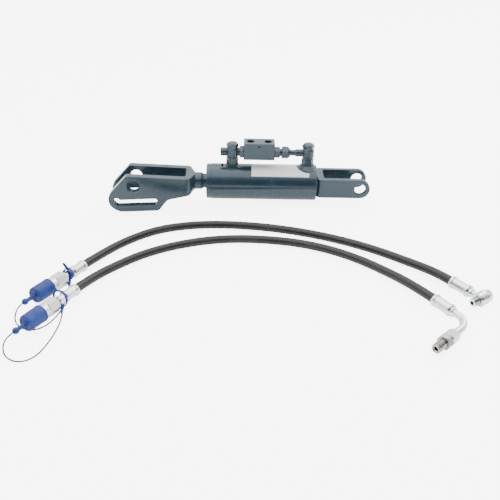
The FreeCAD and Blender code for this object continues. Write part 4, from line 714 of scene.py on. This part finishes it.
VALVE_MIDDLE = ARM @ Matrix.Translation(mm(109.1, 0, 67.2))
ROD_VALVE = VALVE_MIDDLE @ Matrix.Rotation(math.pi, 4, "Z")
coil_spring("rod_side_check_spring", ROD_VALVE, 17, 23, 4.7, 3, "check_springs")
coil_spring("base_side_check_spring", VALVE_MIDDLE, 17, 23, 4.7, 3, "check_springs")
coil_spring("rear_plug_spring", REAR_PLUG, 87, 97, 6.0, 4, "plug_springs")
coil_spring("front_plug_spring", FRONT_PLUG, 87, 97, 6.0, 4, "plug_springs")


# The washer under the bolt's head is pressed a little thinner, so the turning head clears it
PRESSED_FACE = 9.45


def pressed(local):
    return Vector((min(local.x, PRESSED_FACE), local.y, local.z))


reshaped(finished["hollow_bolt_washers"], BOLT, pressed)


# Welds: rippled along their run
RIPPLE = 2.7
RIPPLE_HEIGHT = 0.38
PORT_WELD_R = 17.0
PORT_WELD_REACH = 22.5
PORT_WELD_BOTTOM = 29.0
ROD_WELD_R = 16.0
ROD_WELD_SKIN = 15.4


def weld_run(local):
    """Distance along the weld bead that holds this corner."""
    for port in (ROD_PORT_X, BASE_PORT_X):
        out = math.hypot(local.x - port, local.y)
        if out < PORT_WELD_REACH and local.z > PORT_WELD_BOTTOM:
            return math.atan2(local.y, local.x - port) * PORT_WELD_R
    return local.y


def ripple(local):
    run = weld_run(local)
    lift = RIPPLE_HEIGHT * (1 - abs(math.sin(math.pi * run / RIPPLE + 0.9 * math.sin(run * 0.37))) ** 1.6)
    away = Vector((0, local.y, local.z)).normalized()
    return local + away * (lift - RIPPLE_HEIGHT * 0.6)


finely_cut(finished["weld_beads"], 1.1)
reshaped(finished["weld_beads"], ARM, ripple)


def rod_ripple(local):
    run = math.atan2(local.y, local.z) * ROD_WELD_R
    lift = RIPPLE_HEIGHT * (1 - abs(math.sin(math.pi * run / RIPPLE)) ** 1.6)
    away = Vector((0, local.y, local.z))
    if away.length < ROD_WELD_SKIN:
        return local
    return local + away.normalized() * (lift - RIPPLE_HEIGHT * 0.7)


finely_cut(finished["rod_weld_bead"], 1.1)
reshaped(finished["rod_weld_bead"], ARM, rod_ripple)


# Crimped ferrules: eight flats pressed into the middle of each sleeve
CRIMP_FLATS = 8
CRIMP_DEPTH = 0.45
CRIMP_START = 6.5
CRIMP_MARGIN = 8.5
SLEEVE_BORE_R = 8.5


def crimp(length):
    """The rule that presses the flats into a sleeve of this length."""
    def change(local):
        radius = math.hypot(local.y, local.z)
        if not (CRIMP_START < local.x < length - CRIMP_MARGIN and radius > SLEEVE_BORE_R):
            return local
        angle = math.atan2(local.y, local.z)
        near = abs(((angle / math.tau * CRIMP_FLATS) % 1) - 0.5) * 2
        press = CRIMP_DEPTH * (1 - near) ** 2
        return Vector((local.x, local.y * (1 - press / radius), local.z * (1 - press / radius)))

    return change


for node, place, length in (
    ("rear_plug_ferrule", REAR_PLUG, 32.0), ("front_plug_ferrule", FRONT_PLUG, 32.0),
    ("rear_banjo_ferrule", REAR_END, 40.0), ("front_elbow_ferrule", FRONT_END, 40.0),
):
    finely_cut(finished[node], 2.2)
    reshaped(finished[node], place, crimp(length))


# The rod fork's forging: its shoulder is turned down to the neck, and its slot stops short of the heel
SHOULDER_START = -46.0
SHOULDER_END = -23.8
NECK_R = 18.0
FLARE_SLOPE = 0.8
FLARE_CURVE = 0.11
SLOT_CORNER = Vector((-183.9, 0, -38.5))
SLOT_TIP = Vector((-192.1, 0, -31.1))
SLOT_REACH = 9.6
HOOK_SHORTENED = Vector((4.4, 0, -4.0))
HEEL_MIDDLE = Vector((-175.7, 0, -33.0))
HEEL_R = 24
HEEL_TOP = -20
HEEL_PROUD = 2.6
BROW_CORNER = Vector((-165.5, 0, 22.5))
BROW_OUTWARDS = Vector((-math.sin(math.radians(51)), 0, math.cos(math.radians(51))))


def ease(value, low, high):
    """Goes softly from 0 to 1 while the value goes from low to high."""
    share = min(1.0, max(0.0, (value - low) / (high - low)))
    return share * share * (3 - 2 * share)


def with_rounded_edges_kept(piece):
    """Makes the rounded edges part of the piece's own mesh, so that it can be cut and shaped further."""
    piece.modifiers.remove(piece.modifiers["even_faces"])
    piece.modifiers["rounded_edges"].harden_normals = False
    bpy.context.view_layer.update()
    piece.data = bpy.data.meshes.new_from_object(piece.evaluated_get(bpy.context.evaluated_depsgraph_get()))
    piece.modifiers.clear()


def finely_cut_between(piece, place, low, high, longest):
    """Cuts a piece across at two places along local x and splits the long edges between them."""
    form = bmesh.new()
    form.from_mesh(piece.data)
    across = place.col[0].to_3d()
    for along in (low, high):
        everything = form.verts[:] + form.edges[:] + form.faces[:]
        bmesh.ops.bisect_plane(form, geom=everything, dist=1e-6, plane_co=place @ mm(along, 0, 0), plane_no=across)
    back = place.inverted()

    def between(part):
        return all(low - 0.01 < (back @ v.co).x / MM < high + 0.01 for v in part.verts)

    with_short_edges(form, longest, most_corners=3, within=between)
    form.to_mesh(piece.data)
    form.free()


def turned_shoulder(local):
    """Draws the square shoulder in to a flared round one that ends at the neck."""
    out = SHOULDER_END - local.x
    radius = math.hypot(local.y, local.z)
    if out < -0.05 or local.x < SHOULDER_START or radius < NECK_R - 3:
        return local
    out = max(0.0, out)
    limit = NECK_R + 0.05 + FLARE_SLOPE * out + FLARE_CURVE * out * out
    soft = max(0.02, min(1.2, 0.12 * out))
    held = min(radius, limit) - soft * math.log1p(math.exp(-abs(radius - limit) / soft))
    held = max(held, min(radius, NECK_R))
    return Vector((local.x, local.y * held / radius, local.z * held / radius))


def shorter_slot(local):
    """Draws in the hook of the slot and stands the heel a little proud."""
    flat = Vector((local.x, 0, local.z))
    hook = SLOT_TIP - SLOT_CORNER
    share = max(0.0, min(1.0, (flat - SLOT_CORNER).dot(hook) / hook.length_squared))
    if (flat - SLOT_CORNER - hook * share).length < SLOT_REACH:
        return local + HOOK_SHORTENED * share
    from_brow = (flat - BROW_CORNER).dot(BROW_OUTWARDS)
    round_heel = flat.x < HEEL_MIDDLE.x and flat.z < HEEL_TOP and (flat - HEEL_MIDDLE).length > HEEL_R
    if from_brow > -4 or round_heel:
        proud = ease(22.0 - local.z, 0, 30) * (1 - ease(-local.z, 44, 59))
        return local + Vector((-HEEL_PROUD * proud, 0, 0))
    return local


fork = finished["rod_fork"]
with_rounded_edges_kept(fork)
finely_cut_between(fork, ARM, SHOULDER_START, SHOULDER_END + 0.3, 1.3)
reshaped(fork, ARM, turned_shoulder)
reshaped(fork, ARM, shorter_slot)
shade(fork.data, SHARP_ANGLE)
fork.modifiers.new("even_faces", "WEIGHTED_NORMAL").keep_sharp = True


# Dust caps: a cup with a rolled lip, a necked stem and a double-cone bead
CAP_MOUTH = 85.3
CAP_END = 122.3
CAP_PROFILE = [
    (CAP_MOUTH + 33, 0.0), (CAP_MOUTH + 33, 11.4), (CAP_MOUTH + 32, 12.1), (CAP_MOUTH + 0.7, 12.1),
    (CAP_MOUTH, 12.8), (CAP_MOUTH, 14.5), (CAP_MOUTH + 0.5, 15.2), (CAP_MOUTH + 3.2, 15.25), (CAP_MOUTH + 3.9, 14.9),
    (CAP_MOUTH + 4.3, 14.85), (CAP_END - 4.5, 14.7), (CAP_END - 2.6, 14.45), (CAP_END - 1.2, 13.7),
    (CAP_END - 0.3, 12.6), (CAP_END, 11.4), (CAP_END - 0.1, 9.4), (CAP_END - 0.9, 8.9), (CAP_END - 0.9, 6.4),
    (CAP_END - 0.4, 5.4), (CAP_END + 1.0, 4.5), (CAP_END + 3.0, 4.0), (CAP_END + 14.6, 3.7), (CAP_END + 16.4, 4.1),
    (CAP_END + 18.6, 5.7), (CAP_END + 22.0, 5.75), (CAP_END + 24.6, 4.2), (CAP_END + 26.0, 1.9), (CAP_END + 26.0, 0.0),
]


for node, place in (("rear_dust_cap", REAR_PLUG), ("front_dust_cap", FRONT_PLUG)):
    name = node + "_moulded"
    cap_mesh = spun_mesh(name, CAP_PROFILE, place, sides=72, angle=42)
    finished[node] = new_piece(name, cap_mesh, BLUE, body_of(node), (node,))


# Strap loops round the plugs' necks
def lofted(form, sections):
    """A solid run through flat oval sections: spot, way ahead, broad way, half breadth and half thickness in mm."""
    rims = []
    for spot, ahead, broad, half_breadth, half_thickness in sections:
        ahead = ahead.normalized()
        broad = (broad - ahead * broad.dot(ahead)).normalized()
        turn = Matrix((broad, ahead.cross(broad), ahead)).transposed().to_4x4()
        oval = Matrix.Diagonal((half_breadth, half_thickness, 1, 1))
        made = bmesh.ops.create_circle(
            form, cap_ends=False, segments=16, radius=MM, matrix=Matrix.Translation(spot) @ turn @ oval
        )
        rims.append(rim_edges(made["verts"]))
    for near, far in zip(rims, rims[1:]):
        bmesh.ops.bridge_loops(form, edges=near + far)
    for rim in (rims[0], rims[-1]):
        bmesh.ops.contextual_create(form, geom=rim)


def way_at(spots, i):
    """The way ahead at one of a row of spots, from its neighbours."""
    return spots[min(i + 1, len(spots) - 1)] - spots[max(i - 1, 0)]


def band_round(form, place, stations, half_breadth, half_thickness):
    """A closed flat band through stations given along, across and above a place."""
    line = mesh_of(route_line("band_line", [tuple(place @ mm(*s) / MM) for s in stations + stations[:1]]))
    spots = [v.co.copy() for v in line.vertices]
    axis = place.col[0].to_3d()
    lofted(form, [(spot, way_at(spots, i), axis, half_breadth, half_thickness) for i, spot in enumerate(spots)])


def tongue(form, place, foot, way, broad, length, half_breadth):
    """A flat tapering tab that stands on a band."""
    root = place @ mm(*foot)
    way = Vector(way).normalized()
    shares = ((0, 1, 1.1), (0.4, 1, 1.0), (0.75, 0.86, 0.9), (0.94, 0.6, 0.8), (1, 0.3, 0.4))
    lofted(form, [
        (root + way * length * share * MM, way, Vector(broad), half_breadth * breadth, thickness)
        for share, breadth, thickness in shares
    ])


WEB_BROAD = Vector((0.9, -0.2, 0.45))


def web(form, place, stations):
    """The flat tapering end of a strap, from the band down to the cord's own width."""
    spots = [place @ mm(*station[:3]) for station in stations]
    lofted(form, [(spots[i], way_at(spots, i), WEB_BROAD, *station[3:]) for i, station in enumerate(stations)])


NECK_X = 40


def strap_loops():
    """The loops of both straps with their webs and tabs, as one piece for the node strap_rings."""
    form = bmesh.new()
    front = stepped(FRONT_PLUG, NECK_X)
    band_round(form, front, [
        (7.5, 10.4, -7.5), (3.5, 14.5, -5.0), (0.5, 16.4, 3.0), (-1.0, 13.4, 12.2), (-1.0, 5.5, 18.0),
        (0.0, -4.0, 17.6), (1.0, -10.4, 11.5), (2.0, -11.4, 3.5), (3.5, -8.6, -5.5), (5.5, -1.0, -9.4),
    ], 2.7, 1.15)
    web(form, front, [(2.6, 6.6, -6.4, 3.8, 1.5), (7.5, 10.4, -8.0, 4.2, 1.75), (13.0, 13.9, -9.9, 2.4, 1.7),
                      (18.6, 17.4, -11.0, 1.45, 1.45)])
    tongue(form, front, (0, -4.5, 17.8), (-0.25, -0.1, 0.95), (0.7, -0.5, 0), 5.5, 2.6)
    rear = stepped(REAR_PLUG, NECK_X)
    band_round(form, rear, [
        (3.6, 5.0, -8.6), (1.6, 9.6, -4.6), (0.0, 11.4, 1.6), (-0.8, 9.0, 8.2), (-0.8, 3.0, 11.6), (0.0, -4.2, 11.2),
        (0.6, -9.6, 6.4), (1.0, -10.6, -0.6), (1.8, -7.6, -6.8), (3.0, -1.4, -9.3),
    ], 4.1, 1.05)
    web(form, rear, [(1.5, 4.2, -7.6, 3.6, 1.5), (5.4, 6.2, -7.4, 3.6, 1.7), (10.5, 9.3, -9.0, 2.2, 1.6),
                     (15.0, 12.4, -10.4, 1.45, 1.45)])
    tongue(form, rear, (-0.4, 0.5, 11.3), (-0.46, 0.05, 0.88), (0.9, -0.3, 0.4), 15.0, 3.8)
    bmesh.ops.recalc_face_normals(form, faces=form.faces)
    mesh = mesh_from(form, "strap_loops", 50)
    return new_piece("strap_loops", mesh, BLUE, body_of("strap_rings"), ("strap_rings",))


finished["strap_rings"] = strap_loops()


# A plain pale label on the tube, trimmed round the weld
LABEL_START = 94.0
LABEL_END = 214.0
LABEL_LOW = 41.0
LABEL_HIGH = 101.0
LABEL_R = TUBE_R + 0.12
WELD_ROUND = 22.4


def from_port(along, angle):
    """Where a spot on the tube lies from the base port's middle, as if the tube were laid flat, in mm."""
    return Vector((along - BASE_PORT_X, (angle - math.pi / 2) * TUBE_R))


def on_weld_round(corner):
    gap = from_port(corner.co.x / MM, math.atan2(corner.co.z, -corner.co.y))
    return abs(gap.length - WELD_ROUND) < 0.05


def label_patch():
    """A grid bent round the tube. Its corners inside the weld's round are drawn out to the round."""
    form = bmesh.new()
    bmesh.ops.create_grid(form, x_segments=60, y_segments=22, size=0.5)
    arc = math.radians(LABEL_HIGH - LABEL_LOW) * TUBE_R
    for corner in form.verts:
        along = LABEL_START + (corner.co.x + 0.5) * (LABEL_END - LABEL_START)
        up = (corner.co.y + 0.5) * arc
        angle = math.radians(LABEL_LOW) + up / TUBE_R
        gap = from_port(along, angle)
        if gap.length < WELD_ROUND:
            gap = gap.normalized() * WELD_ROUND
            along = BASE_PORT_X + gap.x
            angle = math.pi / 2 + gap.y / TUBE_R
        corner.co = (along * MM, -math.cos(angle) * LABEL_R * MM, math.sin(angle) * LABEL_R * MM)
    bmesh.ops.remove_doubles(form, verts=form.verts, dist=2e-5)
    slivers = [f for f in form.faces if f.calc_area() < 2e-8 or all(on_weld_round(v) for v in f.verts)]
    bmesh.ops.delete(form, geom=slivers, context="FACES")
    bmesh.ops.recalc_face_normals(form, faces=form.faces)
    if sum(f.normal.z for f in form.faces) < 0:
        bmesh.ops.reverse_faces(form, faces=form.faces)
    bmesh.ops.transform(form, matrix=ARM, verts=form.verts)
    mesh = mesh_from(form, "tube_label", 40)
    patch = new_piece("tube_label", mesh, LABEL, "barrel")
    film = patch.modifiers.new("film", "SOLIDIFY")
    film.thickness = 0.1 * MM
    film.offset = -1


label_patch()


# Finishes of the CAD nodes that stay as they are, most of them hidden
HIDDEN_FINISHES = {
    "gland_lock_wire": STEEL, "gland_o_ring": SEAL, "wiper_ring": SEAL, "rod_seal": SEAL,
    "rod_guide_bush": BRONZE, "base_plug": STEEL, "check_seats": STEEL, "check_poppet_rod_side": STEEL,
    "check_poppet_base_side": STEEL, "pilot_piston": STEEL, "pilot_o_ring": SEAL,
    "cutting_ring": STEEL, "piston_rod": CHROME, "piston": STEEL, "piston_seal": SEAL,
    "piston_guide_rings": SEAL_PLASTIC, "piston_nut": ZINC, "rear_plug_valve": STEEL, "front_plug_valve": STEEL,
}
for node, material in HIDDEN_FINISHES.items():
    NODES[node].data.materials.clear()
    NODES[node].data.materials.append(material)


# Stage: pale floor, soft studio light
FLOOR_GLOW = 0.75
FLOOR_GLOW_SEEN = 5.0


def floor_material():
    material, graph, surface = new_material("pale_floor")
    seen = graph.add("ShaderNodeLightPath").outputs["Is Camera Ray"]
    glow = graph.math("ADD", FLOOR_GLOW, graph.math("MULTIPLY", seen, FLOOR_GLOW_SEEN))
    graph.fill(
        surface, Base_Color=(0.80, 0.80, 0.80, 1), Roughness=0.85, Emission_Color=(1, 1, 1, 1), Emission_Strength=glow
    )
    return material


form = bmesh.new()
bmesh.ops.create_grid(form, x_segments=1, y_segments=1, size=8.0, matrix=Matrix.Translation((0, 6.9, 0)))
floor_mesh = bpy.data.meshes.new("floor")
form.to_mesh(floor_mesh)
form.free()
floor = placed("floor", floor_mesh, floor_material())


def softbox(name, place, target, width, height, power):
    """A rectangular light at a place in metres, aimed at a target, with its power in watts."""
    light = bpy.data.lights.new(name, "AREA")
    light.shape = "RECTANGLE"
    light.size = width
    light.size_y = height
    light.energy = power
    lamp = bpy.data.objects.new(name, light)
    bpy.context.scene.collection.objects.link(lamp)
    aim = (Vector(target) - Vector(place)).to_track_quat("-Z", "Y")
    lamp.matrix_world = Matrix.Translation(Vector(place)) @ aim.to_matrix().to_4x4()


softbox("overhead_near_edge", (0.0, 0.0, 2.2), (0, 0.0, 0), width=3.4, height=3.5, power=78)
softbox("overhead", (0.0, 0.35, 2.2), (0, 0.35, 0), width=3.4, height=2.8, power=62)
softbox("overhead_far_half", (0.0, 0.65, 2.2), (0, 0.65, 0), width=3.4, height=2.2, power=49)
softbox("left_front", (-2.2, -1.2, 2.2), (0, -0.1, 0), width=1.3, height=1.3, power=16)
softbox("right_back", (1.8, 1.5, 1.7), (0, 0, 0), width=1.2, height=1.2, power=24)

# The room: bright overhead and behind, dark in front, where nothing pale stands
world = bpy.data.worlds.new("studio")
bpy.context.scene.world = world
world.use_nodes = True
room = Graph(world.node_tree)
background = world.node_tree.nodes["Background"]
direction = room.add("ShaderNodeTexCoord").outputs["Generated"]
split = room.add("ShaderNodeSeparateXYZ")
room.feed(split.inputs[0], direction)
height = room.span(split.outputs["Z"], 0.50, 0.72)
behind = room.span(split.outputs["Y"], -0.35, 0.25)
lit = room.math("MAXIMUM", height, behind)
strength = room.math("ADD", 0.9, room.math("MULTIPLY", behind, 0.9))
room.fill(background, Color=room.mix(lit, (0.015, 0.018, 0.022, 1), (1.0, 1.0, 1.0, 1)), Strength=strength)
